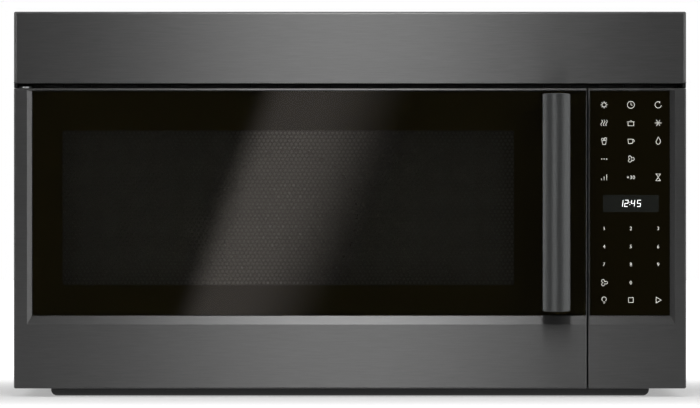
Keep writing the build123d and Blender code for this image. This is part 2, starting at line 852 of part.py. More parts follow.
def oven_cavity():
    """The enamelled oven box and its front plate, as the flat sheets that it is welded from."""
    shell_x = grown((cavity_left, cavity_right), sheet)
    shell_z = grown((cavity_floor, cavity_top), sheet)
    box = block(shell_x, (cabinet_front_y, cavity_back + sheet), shell_z)
    plate = block((-inner_half + fit, inner_half - fit), (cabinet_front_y, plate_back_y),
                  (wrap_bottom + sheet, inner_top - fit))
    inside = rounded_block((cavity_left, cavity_right), (cabinet_front_y, cavity_back),
                           (cavity_floor, cavity_top), mouth_round, Axis.Y)
    body = box + plate - inside
    ys = (cabinet_front_y, plate_back_y)
    body = body - block((-vent_window_width / 2, vent_window_width / 2), ys, vent_window_z)
    for z in latch_z:
        slot_x = (latch_x - latch_slot_width / 2, latch_x + latch_slot_width / 2)
        slot_z = (z - latch_slot_height / 2, z + latch_slot_height / 2)
        body = body - block(slot_x, ys, slot_z)
    body = body - block(grown((control_left, half_width), -bay_port_side), ys,
                        (door_bottom + bay_port_low, door_top - bay_port_top))
    strap_x = (hinge_x - hinge_strap_width / 2 - fit, hinge_x + hinge_strap_width / 2 + fit)
    for zs in strap_heights():
        body = body - block(strap_x, ys, grown(zs, fit))
    floor = (cavity_floor - sheet, cavity_floor)
    body = body - rod_z(cavity_x, cavity_y, floor, stem_radius + 2.5)
    port_z = (cavity_z + 6, cavity_z + 6 + waveguide_height - 36)
    body = body - block((cavity_right, bay_left), (waveguide_y[0] + 8, waveguide_y[1] - 8), port_z)
    lamp = rod_x((cavity_right, bay_left), cavity_y - cavity_lamp_forward,
                 cavity_top - cavity_lamp_drop, cavity_lamp_hole)
    body = body - lamp
    back = (cavity_back, cavity_back + sheet)
    holes = []
    for ring, count in ((14.0, 6), (26.0, 12), (38.0, 18), (80.0, 30)):
        for step in range(count):
            turn = 2 * math.pi * step / count
            holes.append(rod_y(cavity_x + ring * math.cos(turn), back,
                               cavity_z + ring * math.sin(turn), back_hole_radius))
    body = body.cut(*holes)
    left = (-half_width, cavity_left + mouth_round)
    right = (cavity_right - mouth_round, half_width)
    middle = (left[1], right[0])
    whole = (0, overall_height)
    sheets = [block((-half_width, half_width), back, whole)]
    for depth in (ys, (plate_back_y, cavity_back)):
        sheets.append(block(left, depth, whole))
        sheets.append(block(right, depth, whole))
        sheets.append(block(middle, depth, (0, cavity_z)))
        sheets.append(block(middle, depth, (cavity_z, overall_height)))
    return [body & region for region in sheets]


waveguide_y = (cavity_y + 30, cavity_y + 30 + waveguide_length)


# ---------------------------------------------------------------- vent parts
def vent_grille():
    """The black louvre in the gap over the door, and the caps that close the gap's ends."""
    xs = (hinge_x + hinge_strap_width / 2 + grille_strap_gap, half_width - grille_end)
    ys = (cabinet_front_y - grille_depth, cabinet_front_y)
    zs = (door_top + 2 * fit, vent_bottom - fit)
    slat = grille_slat
    parts = [block(xs, ys, (zs[0], zs[0] + slat)), block(xs, ys, (zs[1] - slat, zs[1]))]
    pitch = (xs[1] - xs[0] - slat) / grille_slats
    for number in range(grille_slats + 1):
        x = xs[0] + number * pitch
        parts.append(block((x, x + slat), ys, zs))
    cap_y = (cabinet_front_y - grille_cap_depth, cabinet_front_y)
    cap_z = (door_top + 2 * fit, vent_bottom)
    caps = [block(sorted((side * half_width, side * (half_width - grille_cap_width))), cap_y, cap_z)
            for side in (-1, 1)]
    return [together(parts)] + caps


def charcoal_filter():
    """The carbon filter in the mouth of the hood duct, a tray with a ribbed grid."""
    half = vent_window_width / 2
    xs = grown((-half, half), -charcoal_side_margin)
    zs = grown(vent_window_z, -charcoal_margin)
    front = cabinet_front_y - fit - charcoal_lip
    core = block(xs, (front, front + charcoal_thickness), zs)
    lip = block(grown((-half, half), charcoal_margin), (front, front + charcoal_lip),
                grown(vent_window_z, charcoal_margin))
    filter_body = core + lip
    cells = []
    wall = charcoal_wall
    wide = (xs[1] - xs[0] - 4 * wall) / charcoal_columns
    tall = (zs[1] - zs[0] - 4 * wall) / charcoal_rows
    for column in range(charcoal_columns):
        for row in range(charcoal_rows):
            x = xs[0] + 2 * wall + column * wide
            z = zs[0] + 2 * wall + row * tall
            cells.append(block((x + wall, x + wide - wall), (front, front + charcoal_cell_depth),
                               (z + wall, z + tall - wall)))
    return filter_body.cut(*cells)


def grease_filter(span):
    """An aluminium grease filter: a folded frame round a mesh pad, with two tabs at the back."""
    ys = filter_y()
    zs = (0.6, 0.6 + filter_thickness)
    frame = block(span, ys, zs)
    window = block(grown(span, -filter_rim), grown(ys, -filter_rim), zs)
    pad = block(grown(span, -filter_rim), grown(ys, -filter_rim),
                (zs[0] + 1.2, zs[0] + 1.2 + filter_mesh))
    body = frame - window + pad
    for side in (0.25, 0.75):
        x = span[0] + side * filter_width
        tab = block((x - 10, x + 10), (ys[1] - 2, ys[1] + 8), (sheet + fit, 2 * sheet + fit))
        body = body + tab
    return body


def cooktop_lamps():
    """The two lamp boards with their reflector boxes on the inside of the base."""
    lamps = []
    for span in lamp_spans():
        ys = lamp_y()
        box = block(grown(span, 4), grown(ys, 4), (sheet, sheet + 16))
        box = box - block(grown(span, 2), grown(ys, 2), (sheet, sheet + 14))
        for step in (-1, 0, 1):
            x = (span[0] + span[1]) / 2 + step * lamp_width / 4
            y = (ys[0] + ys[1]) / 2
            box = box + rod_z(x, y, (sheet + 11, sheet + 14), 5)
        lamps.append(box)
    return lamps


def lamp_lenses():
    """The two frosted lenses, flush in the base."""
    lenses = []
    for span in lamp_spans():
        low = block(grown(span, -fit), grown(lamp_y(), -fit), (fit, sheet))
        flange = block(grown(span, 1.5), grown(lamp_y(), 1.5), (sheet, sheet + 1.5))
        lenses.append(low + flange)
    return lenses


# ---------------------------------------------------------------- turntable
def coupler_z():
    """The three winged head of the coupler, bottom and top."""
    low = cavity_floor + 2 * roller_radius - coupler_height - 1
    return (low, low + coupler_height)


tray_under = cavity_floor + 2 * roller_radius + 2 * fit


def turntable_coupler():
    """The coupler: a stem into the motor, a neck and three wings that turn the tray."""
    head = coupler_z()
    motor_top = cavity_floor - sheet
    stem = rod_z(cavity_x, cavity_y, (motor_top - 8, head[0]), stem_radius)
    hub = rod_z(cavity_x, cavity_y, (cavity_floor + fit, head[1]), 8)
    wings = [stem, hub]
    for step in range(3):
        wing = Pos(coupler_radius / 2, 0, 0) * Box(coupler_radius, wing_width, coupler_height)
        place = Pos(cavity_x, cavity_y, (head[0] + head[1]) / 2) * Rot(0, 0, 120 * step)
        wings.append(place * wing)
    return together(wings)


def turntable_motor():
    """The flat synchronous motor under the oven floor."""
    top = cavity_floor - sheet
    can = rod_z(cavity_x, cavity_y, (top - turntable_motor_height, top), turntable_motor_radius)
    ear_x = grown((cavity_x, cavity_x), turntable_motor_radius + 6)
    ears = block(ear_x, (cavity_y - 6, cavity_y + 6), (top - 2, top))
    body = can + ears
    return body - rod_z(cavity_x, cavity_y, (top - 9, top), stem_radius + running)


def roller_height():
    """The height of the rollers' axles."""
    return cavity_floor + fit + roller_radius


def roller_angle(number):
    """The direction of one roller from the middle of the ring, in degrees."""
    return 90 + number * 360 / roller_count


def roller_ring():
    """The ring that carries the three rollers on short axles."""
    z = roller_height()
    zs = (z - ring_thickness / 2, z + ring_thickness / 2)
    ring = rod_z(cavity_x, cavity_y, zs, ring_radius + ring_width / 2)
    ring = ring - rod_z(cavity_x, cavity_y, zs, ring_radius - ring_width / 2)
    end = roller_track_radius + roller_thickness / 2
    for number in range(roller_count):
        place = Pos(cavity_x, cavity_y, z) * Rot(0, 0, roller_angle(number))
        axle = Pos((ring_radius + end + 1.5) / 2, 0, 0) * Rot(0, 90, 0)
        ring = ring + place * axle * Cylinder(roller_axle_radius, end + 1.5 - ring_radius)
        cap = Pos(end + fit + 1.2, 0, 0) * Rot(0, 90, 0) * Cylinder(roller_axle_radius + 1.4, 1.8)
        ring = ring + place * cap
    return ring


def roller(number):
    """One plastic roller, free on its axle."""
    wheel = Cylinder(roller_radius, roller_thickness)
    wheel = fillet(wheel.edges(), 0.8)
    wheel = wheel - Cylinder(roller_axle_radius + running, roller_thickness)
    place = Pos(cavity_x, cavity_y, roller_height()) * Rot(0, 0, roller_angle(number))
    return place * Pos(roller_track_radius, 0, 0) * Rot(0, 90, 0) * wheel


def glass_tray():
    """The glass plate with its raised rim and the lugs that the coupler's wings turn."""
    low = tray_under
    plate = rod_z(cavity_x, cavity_y, (low, low + tray_thickness), tray_radius - tray_rim_width)
    profile = BuildLine()
    inner = tray_radius - tray_rim_width
    with profile:
        Polyline((inner - 4, low), (inner + 1, low), (tray_radius, low + tray_rim),
                 (tray_radius - 3.2, low + tray_rim), (inner - 3, low + tray_thickness),
                 (inner - 4, low + tray_thickness), close=True)
    section = Plane.XZ * make_face(profile.line.edges())
    rim = Pos(cavity_x, cavity_y, 0) * revolve(section, Axis.Z)
    tray = plate + rim
    lug = Box(6, 4, 4.6)
    for step in range(3):
        place = Pos(cavity_x, cavity_y, low - 2.3) * Rot(0, 0, 120 * step)
        for side in (-1, 1):
            tray = tray + place * Pos(13, side * (wing_width / 2 + 0.5 + 2), 0) * lug
    return tray


# ---------------------------------------------------------------- convection
heater_tail_x = (cavity_x - heater_tail_offset, cavity_x + heater_tail_offset)
heater_tail_z = cavity_z - math.sqrt(heater_radius ** 2 - heater_tail_offset ** 2)


def convection_fan():
    """The stirrer fan behind the oven's back wall, on its shaft."""
    front = cavity_back + sheet + 4
    back = cavity_back + sheet + convection_depth - 6
    disc = rod_y(cavity_x, (back - 1.2, back), cavity_z, convection_fan_radius)
    hub = rod_y(cavity_x, (front, back), cavity_z, 8)
    shaft = rod_y(cavity_x, (back, back + 16), cavity_z, shaft_radius)
    parts = [disc, hub, shaft]
    length = convection_fan_radius - 22
    for step in range(convection_blades):
        blade = Pos(22 + length / 2, 0, 0) * Box(length, back - front - 1, 1.2)
        place = Pos(cavity_x, (front + back - 1) / 2, cavity_z)
        parts.append(place * Rot(0, 360 / convection_blades * step, 0) * blade)
    return together(parts)


def convection_housing():
    """The pan behind the oven that holds the fan and the heater."""
    half = convection_box / 2
    xs = grown((cavity_x, cavity_x), half)
    zs = grown((cavity_z, cavity_z), half)
    ys = (cavity_back + sheet, cavity_back + sheet + convection_depth)
    pan = block(xs, ys, zs) - block(grown(xs, -sheet), (ys[0], ys[1] - sheet), grown(zs, -sheet))
    flange = block(grown(xs, 10), (ys[0], ys[0] + sheet), grown(zs, 10))
    pan = pan + (flange - block(xs, ys, zs))
    bore = rod_y(cavity_x, (ys[1] - sheet, ys[1]), cavity_z, shaft_radius + 1.5)
    for x in heater_tail_x:
        pan = pan - rod_y(x, (ys[1] - sheet, ys[1]), heater_tail_z, heater_tube)
    return pan - bore


def convection_heater():
    """The round sheathed heater with its two tails through the housing."""
    middle = cavity_back + sheet + convection_depth / 2
    back = cavity_back + sheet + convection_depth
    gap = math.degrees(math.asin(heater_tail_offset / heater_radius))
    start = 270 + gap
    plane = Plane(origin=(cavity_x, middle, cavity_z), x_dir=(1, 0, 0), z_dir=(0, -1, 0))
    path = plane * CenterArc((0, 0), heater_radius, start, 360 - 2 * gap)
    begin = path @ 0
    ring = sweep(Plane(origin=begin, z_dir=path % 0) * Circle(heater_tube), path=path)
    shapes = [ring]
    for x in heater_tail_x:
        tail = rod_y(x, (middle, back + 8), heater_tail_z, heater_tube)
        ball = Pos(x, middle, heater_tail_z) * Sphere(heater_tube)
        shapes = shapes + [tail, ball]
    return together(shapes)


def convection_motor():
    """The flat motor on the back of the convection housing."""
    front = cavity_back + sheet + convection_depth
    ys = (front, inner_back - 2)
    can = rod_y(cavity_x, ys, cavity_z, convection_motor_radius)
    ears = block(grown((cavity_x, cavity_x), convection_motor_radius + 8), (front, front + 2),
                 grown((cavity_z, cavity_z), 7))
    bore = rod_y(cavity_x, (front, front + 12), cavity_z, shaft_radius + running)
    return can + ears - bore


# ---------------------------------------------------------------- hood blower
blower_y = cabinet_back_y - blower_from_back
blower_low = cavity_top + sheet
blower_z = blower_low + 2 + scroll_clearance + blower_wheel_radius
motor_half = blower_motor_length / 2
wheel_start = motor_half + 8.0
wheel_end = wheel_start + blower_wheel_length
scroll_span = (wheel_start - 5.0, wheel_end + 5.0)


def blower_wheels():
    """The two cage wheels on one shaft."""
    shaft = rod_x((-wheel_end - 4, wheel_end + 4), blower_y, blower_z, blower_shaft_radius)
    parts = [shaft]
    ring_wall = 7.0
    for side in (-1, 1):
        near = sorted((side * wheel_start, side * (wheel_start + 2)))
        far = sorted((side * (wheel_end - 2), side * wheel_end))
        parts.append(rod_x(near, blower_y, blower_z, blower_wheel_radius))
        rim = rod_x(far, blower_y, blower_z, blower_wheel_radius)
        parts.append(rim - rod_x(far, blower_y, blower_z, blower_wheel_radius - ring_wall))
        length = blower_wheel_length
        middle = side * (wheel_start + wheel_end) / 2
        for step in range(blower_blades):
            blade = Pos(0, 0, blower_wheel_radius - 3.5) * Box(length, 1.2, 5)
            place = Pos(middle, blower_y, blower_z) * Rot(360 / blower_blades * step, 0, 0)
            parts.append(place * blade)
    return together(parts)


def blower_housing():
    """The two scrolls on one base, with their mouths towards the charcoal filter."""
    radius = blower_wheel_radius + scroll_clearance
    wall = 1.2
    top = blower_z + radius
    floor = block((-scroll_span[1] - 6, scroll_span[1] + 6), (blower_y - radius, blower_y + radius),
                  (blower_low, blower_low + wall))
    parts = [floor]
    cuts = []
    for side in (-1, 1):
        xs = sorted((side * scroll_span[0], side * scroll_span[1]))
        mouth = (blower_y - radius - 24, blower_y)
        outer = rod_x(xs, blower_y, blower_z, radius)
        nose = block(xs, mouth, (blower_z + 4, top))
        stand = block(xs, (blower_y - 12, blower_y + 12), (blower_low, blower_z))
        parts = parts + [outer, nose, stand]
        inside_x = grown(xs, -wall)
        cuts.append(rod_x(inside_x, blower_y, blower_z, radius - wall))
        cuts.append(block(inside_x, (mouth[0], blower_y), (blower_z + 4 + wall, top - wall)))
        cuts.append(rod_x(grown(xs, 1), blower_y, blower_z, blower_wheel_radius - 8))
    return together(parts).cut(*cuts)


def blower_motor():
    """The blower's motor between the scrolls, on two feet."""
    can = rod_x((-motor_half, motor_half), blower_y, blower_z, blower_motor_radius)
    foot = block((-motor_half + 6, motor_half - 6), (blower_y - 24, blower_y + 24),
                 (blower_low + 1.2, blower_z - 16))
    bore = rod_x((-motor_half, motor_half), blower_y, blower_z, blower_shaft_radius + running)
    return can + foot - bore


# ---------------------------------------------------------------- component bay
shroud_y = (inner_back - fan_from_back - 1.5, inner_back - fan_from_back)
fan_z = cavity_z


def fan_shroud():
    """The wall behind the bay with the ring that the cooling fan turns in."""
    xs = (bay_left, inner_half - fit)
    wall = block(xs, shroud_y, (plenum_top + sheet, cavity_top))
    ring_y = (shroud_y[1] - fan_depth - 2, shroud_y[1])
    collar = rod_y(bay_x, ring_y, fan_z, fan_radius + 4)
    hole = rod_y(bay_x, ring_y, fan_z, fan_radius + 2.5)
    return wall + collar - hole


def cooling_fan():
    """The plastic fan that cools the magnetron."""
    ys = (shroud_y[1] - fan_depth, shroud_y[1])
    hub = rod_y(bay_x, ys, fan_z, fan_hub_radius)
    shaft = rod_y(bay_x, (ys[1], ys[1] + 14), fan_z, shaft_radius)
    parts = [hub, shaft]
    length = fan_radius - fan_hub_radius + 2
    for step in range(fan_blades):
        blade = Pos(fan_hub_radius - 2 + length / 2, 0, 0) * Rot(24, 0, 0)
        place = Pos(bay_x, (ys[0] + ys[1]) / 2, fan_z) * Rot(0, 360 / fan_blades * step, 0)
        parts.append(place * blade * Box(length, 1.4, 26))
    return together(parts)


def fan_motor():
    """The fan's motor on a strap across the shroud."""
    front = shroud_y[1] + fan_motor_gap
    half = fan_motor_core / 2
    strap_x = grown((bay_x, bay_x), fan_motor_strap / 2)
    strap_y = (front, front + fan_motor_strap_thickness)
    core = block(grown((bay_x, bay_x), half), (front, inner_back - 10 * fit),
                 grown((fan_z, fan_z), half))
    reach = fan_radius + 2 * fan_motor_foot
    parts = [core, block(strap_x, strap_y, grown((fan_z, fan_z), reach))]
    for side in (-1, 1):
        z = fan_z + side * (reach - fan_motor_foot / 2)
        parts.append(block(strap_x, (shroud_y[1], strap_y[1]), grown((z, z), fan_motor_foot / 2)))
    bore = rod_y(bay_x, (front, front + 2 * fan_motor_foot), fan_z, shaft_radius + running)
    return together(parts) - bore


def waveguide():
    """The steel channel from the magnetron to the oven wall."""
    xs = (bay_left, bay_left + waveguide_depth)
    zs = (cavity_z - 12, cavity_z - 12 + waveguide_height)
    duct = block(xs, waveguide_y, zs)
    inside = block((xs[0], xs[1] - sheet), grown(waveguide_y, -sheet), grown(zs, -sheet))
    return duct - inside


def waveguide_cover():
    """The mica sheet over the waveguide's mouth, inside the oven."""
    port_z = (cavity_z, cavity_z + waveguide_height - 24)
    return block((cavity_right - 0.6, cavity_right), grown(waveguide_y, -2), port_z)


def magnetron():
    """The magnetron: its yoke, cooling fins, filter box and the flange on the waveguide."""
    left = bay_left + waveguide_depth
    xs = (left, left + magnetron_length)
    middle_y = (waveguide_y[0] + waveguide_y[1]) / 2
    ys = grown((middle_y, middle_y), magnetron_width / 2)
    zs = (cavity_z + 16, cavity_z + 16 + magnetron_height)
    yoke = block(xs, ys, zs) - block(grown(xs, -3), ys, grown(zs, -3))
    middle_z = (zs[0] + zs[1]) / 2
    anode = rod_x(xs, middle_y, middle_z, 20)
    box = block((xs[1], xs[1] + 28), grown((middle_y, middle_y), 30), grown((middle_z, middle_z), 26))
    parts = [yoke, anode, box]
    for number in range(magnetron_fins):
        x = xs[0] + 12 + number * (magnetron_length - 25) / (magnetron_fins - 1)
        parts.append(block((x, x + 0.8), grown(ys, -4), grown(zs, -3)))
    return together(parts)


def hv_transformer():
    """The high voltage transformer on the duct plate: laminated core with two windings."""
    low = plenum_top + sheet
    back = shroud_y[0] - 60
    ys = (back - transformer_width, back)
    xs = (bay_left + 30, bay_left + 30 + transformer_length)
    zs = (low, low + transformer_height)
    core = block(xs, grown(ys, -18), zs)
    foot = block(xs, ys, (low, low + 2))
    winding = rounded_block(grown(xs, -16), ys, grown(zs, -14), 9, Axis.Y)
    return core + foot + winding


def hv_capacitor():
    """The oval capacitor can with its two terminals and the diode beside them."""
    low = plenum_top + sheet
    xs = (bay_left + 34, bay_left + 34 + capacitor_length)
    back = shroud_y[0] - 60 - transformer_width - 16
    ys = (back - capacitor_width, back)
    can = rounded_block(xs, ys, (low, low + capacitor_height), capacitor_height / 2 - 2, Axis.X)
    cap = [can]
    for side in (-1, 1):
        y = (ys[0] + ys[1]) / 2 + side * 10
        cap.append(rod_x((xs[1], xs[1] + 10), y, low + capacitor_height / 2, 3))
    diode = rod_x((xs[0] + 20, xs[0] + 48), ys[0] - 8, low + 4, 4)
    return [together(cap), diode]


def noise_filter():
    """The mains filter board with its fuse and choke, on four feet on the back panel."""
    left = bay_x - noise_board_offset
    low = cavity_top + noise_board_rise
    xs = (left, left + noise_board_width)
    zs = (low, low + noise_board_height)
    y = inner_back - noise_board_stand
    parts = [block(xs, (y, y + board_thickness), zs)]
    for x in grown(xs, -board_corner):
        for z in grown(zs, -board_corner):
            parts.append(rod_y(x, (y + board_thickness, inner_back), z, foot_radius))
    choke_z_middle = (zs[0] + zs[1]) / 2
    parts.append(rod_y(xs[0] + noise_choke_radius + 2 * board_corner, (y - noise_choke_height, y),
                       choke_z_middle, noise_choke_radius))
    fuse_x = (xs[0] + xs[1]) / 2 + fuse_width
    parts.append(block((fuse_x, fuse_x + fuse_width), (y - fuse_height, y),
                       grown((choke_z_middle, choke_z_middle), fuse_length / 2)))
    return together(parts)


def cavity_lamp():
    """The oven lamp in its socket on the outside of the oven wall."""
    y = cavity_y - cavity_lamp_forward
    z = cavity_top - cavity_lamp_drop
    bracket = block((bay_left, bay_left + 1.5), grown((y, y), 24), grown((z, z), 20))
    bracket = bracket - rod_x((bay_left, bay_left + 1.5), y, z, cavity_lamp_hole)
    shade = rod_x((bay_left + 1.5, bay_left + 32), y, z, cavity_lamp_hole + 5)
    shade = shade - rod_x((bay_left, bay_left + 30), y, z, cavity_lamp_hole + 3)
    bulb = rod_x((bay_left + 4, bay_left + 30), y, z, 8)
    return bracket + shade + bulb


def latch_board():
    """The plastic plate behind the front plate that catches both hooks and holds the switches."""
    back = plate_back_y + latch_board_thickness
    body = block(grown((latch_x, latch_x), latch_board_width / 2), (plate_back_y, back),
                 grown(latch_z, latch_board_overrun))
    slot_x = grown((latch_x, latch_x), (latch_slot_width + 1) / 2)
    cheek_x = (latch_x + latch_cheek_offset, latch_x + latch_cheek_offset + latch_board_thickness)
    half = latch_slot_height / 2
    for z in latch_z:
        slot = block(slot_x, (plate_back_y, back), (z - half, z + half))
        ledge = block(slot_x, (back, back + latch_ledge_depth), (z - half - latch_ledge_height, z - half))
        cheek = block(cheek_x, (back, plate_back_y + latch_cheek_depth),
                      grown((z, z), half + latch_ledge_height))
        body = body - slot + ledge + cheek
    return body


def interlock_switches():
    """The three door switches on the latch board."""
    left = latch_x + latch_cheek_offset + latch_board_thickness
    ys = (plate_back_y + switch_offset, plate_back_y + switch_offset + switch_depth)
    stud_x = (left + switch_width / 3, left + 2 * switch_width / 3)
    switches = []
    places = (latch_z[0] - switch_rise, latch_z[0] + switch_rise, latch_z[1])
    for middle in places:
        zs = grown((middle, middle), switch_height / 2)
        body = block((left, left + switch_width), ys, zs)
        stud = block(stud_x, (ys[0] - 1, ys[0]), grown(zs, -switch_height / 3))
        switches.append(body + stud)
    return switches


def interlock_plungers():
    """The two plungers that the hooks push onto the switches."""
    tip_y = door_back_y + hook_reach + fit
    back = tip_y + plunger_length
    xs = (latch_x - plunger_half, latch_x + latch_cheek_offset - fit)
    plungers = [block(xs, (tip_y, back), grown((z, z), plunger_half)) for z in latch_z]
    rail = block(xs, (back, back + plunger_rail), grown(latch_z, plunger_half))
    return together([rail] + plungers)


# ---------------------------------------------------------------- control panel
housing_front = glass_y + control_glass_thickness
housing_x = grown((control_left, half_width), -(skirt_wall + fit))
housing_z = grown((door_bottom, door_top), -(skirt_wall + fit))
display_z = (door_bottom + display_rise, door_bottom + display_rise + display_height)
display_x = (control_left + display_left_margin, half_width - display_right_margin)


def control_glass():
    """The touch glass of the control panel."""
    xs = (control_left + control_strip + glass_gap,
          half_width - control_band - side_bevel - glass_gap)
    zs = (aperture_bottom + glass_gap, aperture_top - glass_gap)
    return block(xs, (glass_y, glass_y + control_glass_thickness), zs)


def control_housing():
    """The black box behind the control glass."""
    wall = 2.0
    body = block(housing_x, (housing_front, cabinet_front_y), housing_z)
    body = body - block(grown(housing_x, -wall), (housing_front + wall, cabinet_front_y),
                        grown(housing_z, -wall))
    body = body - block(display_x, (housing_front, housing_front + wall), display_z)
    for x in (housing_x[0] + 7, housing_x[1] - 7):
        for z in (housing_z[0] + 90, housing_z[1] - 20):
            body = body + rod_y(x, (housing_front + wall, housing_front + 16), z, 3)
    return body


def touch_board():
    """The touch board with its display block."""
    y = housing_front + 2.0
    middle = (control_left + half_width) / 2
    board = block(grown((middle, middle), touch_board_half), (y, y + board_thickness),
                  grown((aperture_bottom, aperture_top), -touch_board_margin))
    display = block(grown(display_x, -0.5), (housing_front + fit, y), grown(display_z, -0.5))
    rear = block(grown(display_x, -4), (y + board_thickness, y + 5 * board_thickness),
                 grown(display_z, -1))
    return board + display + rear


def control_board():
    """The relay board on the housing's four posts."""
    y = housing_front + 16
    zs = (housing_z[0] + 82, housing_z[1] - 12)
    front = y + board_thickness
    board = block(grown(housing_x, -3), (y, front), zs)
    parts = [board]
    for number in range(4):
        z = zs[0] + 24 + number * 34
        parts.append(block((housing_x[0] + 14, housing_x[0] + 34), (front, y + 14), (z, z + 22)))
    parts.append(block((housing_x[1] - 50, housing_x[1] - 14), (front, y + 15),
                       (zs[1] - 60, zs[1] - 22)))
    parts.append(rod_y(housing_x[1] - 26, (front, y + 15), zs[0] + 40, 8))
    return together(parts)


def cord_bush():
    """The bush in the top that the mains lead would pass."""
    flange = rod_z(cord_bush_x, cord_y, (cabinet_top, cabinet_top + top_step), cord_bush_radius + 3)
    neck = rod_z(cord_bush_x, cord_y, (inner_top - 6, cabinet_top), cord_bush_radius - 0.2)
    bore = rod_z(cord_bush_x, cord_y, (inner_top - 6, cabinet_top + top_step), cord_bush_bore)
    return flange + neck - bore


def cabinet_screws():
    """The screws along the back edges of the wrap, into the rear panel's flanges."""
    return [screw(side * cabinet_half, screw_y, z, (-side, 0, 0), screw_radius, sheet + 4,
                  2 * screw_radius, cabinet_inset - 1)
            for side, z in screw_places()]


# ---------------------------------------------------------------- write the nodes
def main():
    """Builds every node and writes it."""
    os.makedirs("parts", exist_ok=True)
    save("door_frame", door_frame())
    save("control_frame", control_frame())
    save("vent_panel", vent_panel())
    save("door_liner", door_liner())
    save("door_glass", door_glass())
    save("door_choke", door_choke())
    save("window_screen", window_screen())
    save("choke_cover", choke_cover())
    save("door_inner_window", door_inner_window())
    save("latch_hooks", latch_hooks())
    save("hinge_brackets", *hinge_brackets())
    save("hinge_pins", *hinge_pins())
    save("door_handle", door_handle())
    save("handle_posts", *handle_posts())
    save("handle_screws", *handle_screws())
    save("cabinet_wrap", *cabinet_wrap())
    save("rear_panel", rear_panel())
    save("wall_plate", wall_plate())
    save("base_pan", base_pan())
    save("duct_plate", duct_plate())
    save("oven_cavity", *oven_cavity())
    save("vent_grille", *vent_grille())
    save("charcoal_filter", charcoal_filter())
    for side, span in zip(("left", "right"), filter_spans()):
        save("grease_filter_" + side, grease_filter(span))
    save("cooktop_lamps", *cooktop_lamps())
    save("lamp_lenses", *lamp_lenses())
    save("turntable_coupler", turntable_coupler())
    save("turntable_motor", turntable_motor())
    save("roller_ring", roller_ring())
    for number in range(roller_count):
        save("roller_" + str(number + 1), roller(number))
    save("glass_tray", glass_tray())
    save("convection_fan", convection_fan())
    save("convection_housing", convection_housing())
    save("convection_heater", convection_heater())
    save("convection_motor", convection_motor())
    save("blower_wheels", blower_wheels())
    save("blower_housing", blower_housing())
    save("blower_motor", blower_motor())
    save("fan_shroud", fan_shroud())
    save("cooling_fan", cooling_fan())
    save("fan_motor", fan_motor())
    save("waveguide", waveguide())
    save("waveguide_cover", waveguide_cover())
    save("magnetron", magnetron())
    save("hv_transformer", hv_transformer())
    save("hv_capacitor", *hv_capacitor())
    save("noise_filter", noise_filter())
    save("cavity_lamp", cavity_lamp())
    save("latch_board", latch_board())
    save("interlock_switches", *interlock_switches())
    save("interlock_plungers", interlock_plungers())
    save("control_glass", control_glass())
    save("control_housing", control_housing())
    save("touch_board", touch_board())
    save("control_board", control_board())
    save("cord_bush", cord_bush())
    save("cabinet_screws", *cabinet_screws())


main()
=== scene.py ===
# %% [markdown]
# # A microwave oven that hangs over a range
# The solids of the oven are already made and packed: this script only dresses them. It loads
# them as a fixed frame, adds the pieces that solids don't hold, such as the printed key marks
# and the perforated screen, and gives every surface the finish of the real one. All lengths
# in Blender are metres, and the front of the oven faces -Y.

# %% Load the frame
import json
import math

import bmesh
import bpy
import numpy as np
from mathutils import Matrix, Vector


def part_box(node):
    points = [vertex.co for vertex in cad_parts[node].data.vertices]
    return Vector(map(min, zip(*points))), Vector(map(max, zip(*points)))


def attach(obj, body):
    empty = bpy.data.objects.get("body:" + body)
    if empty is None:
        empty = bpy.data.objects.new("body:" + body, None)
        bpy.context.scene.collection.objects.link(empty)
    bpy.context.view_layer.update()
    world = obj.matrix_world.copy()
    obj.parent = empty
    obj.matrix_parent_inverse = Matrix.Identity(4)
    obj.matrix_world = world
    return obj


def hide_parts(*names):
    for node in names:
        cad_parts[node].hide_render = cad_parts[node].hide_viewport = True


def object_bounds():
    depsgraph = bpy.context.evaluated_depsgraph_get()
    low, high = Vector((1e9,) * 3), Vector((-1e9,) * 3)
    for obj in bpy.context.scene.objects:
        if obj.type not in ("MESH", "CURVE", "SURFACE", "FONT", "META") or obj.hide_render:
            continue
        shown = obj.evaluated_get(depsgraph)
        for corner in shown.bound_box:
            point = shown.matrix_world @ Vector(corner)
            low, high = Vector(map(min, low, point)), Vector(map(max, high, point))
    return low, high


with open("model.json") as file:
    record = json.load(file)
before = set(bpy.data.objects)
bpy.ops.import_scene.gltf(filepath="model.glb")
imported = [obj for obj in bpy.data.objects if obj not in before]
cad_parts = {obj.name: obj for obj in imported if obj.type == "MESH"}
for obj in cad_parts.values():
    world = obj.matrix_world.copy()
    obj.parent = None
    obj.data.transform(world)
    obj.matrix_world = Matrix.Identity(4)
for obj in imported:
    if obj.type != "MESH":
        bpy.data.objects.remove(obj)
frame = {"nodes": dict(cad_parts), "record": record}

nodes = frame["nodes"]
cad_low, cad_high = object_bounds()
size_mm = [round((high - low) * 1000, 1) for low, high in zip(cad_low, cad_high)]
print("solids:", len(nodes), "size in mm:", size_mm)

# %% [markdown]
# ## Places on the front
# A new piece has to sit where the solids say, so the places that it needs are read from the
# boxes of the solids once, here, and never typed in again. Sizes that no solid holds, such as
# the clear window in the printed glass, are given in millimetres.

# %% Places on the front
MM = 0.001
glass_low, glass_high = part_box("door_glass")
screen_low, screen_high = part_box("window_screen")
glass_front = glass_low.y
glass_back = glass_high.y
screen_edge = 6 * MM
window_x = (screen_low.x + screen_edge, screen_high.x - screen_edge)
window_z = (screen_low.z + screen_edge, screen_high.z - screen_edge)
print("clear window:", [round(v * 1000, 1) for v in (*window_x, *window_z)])

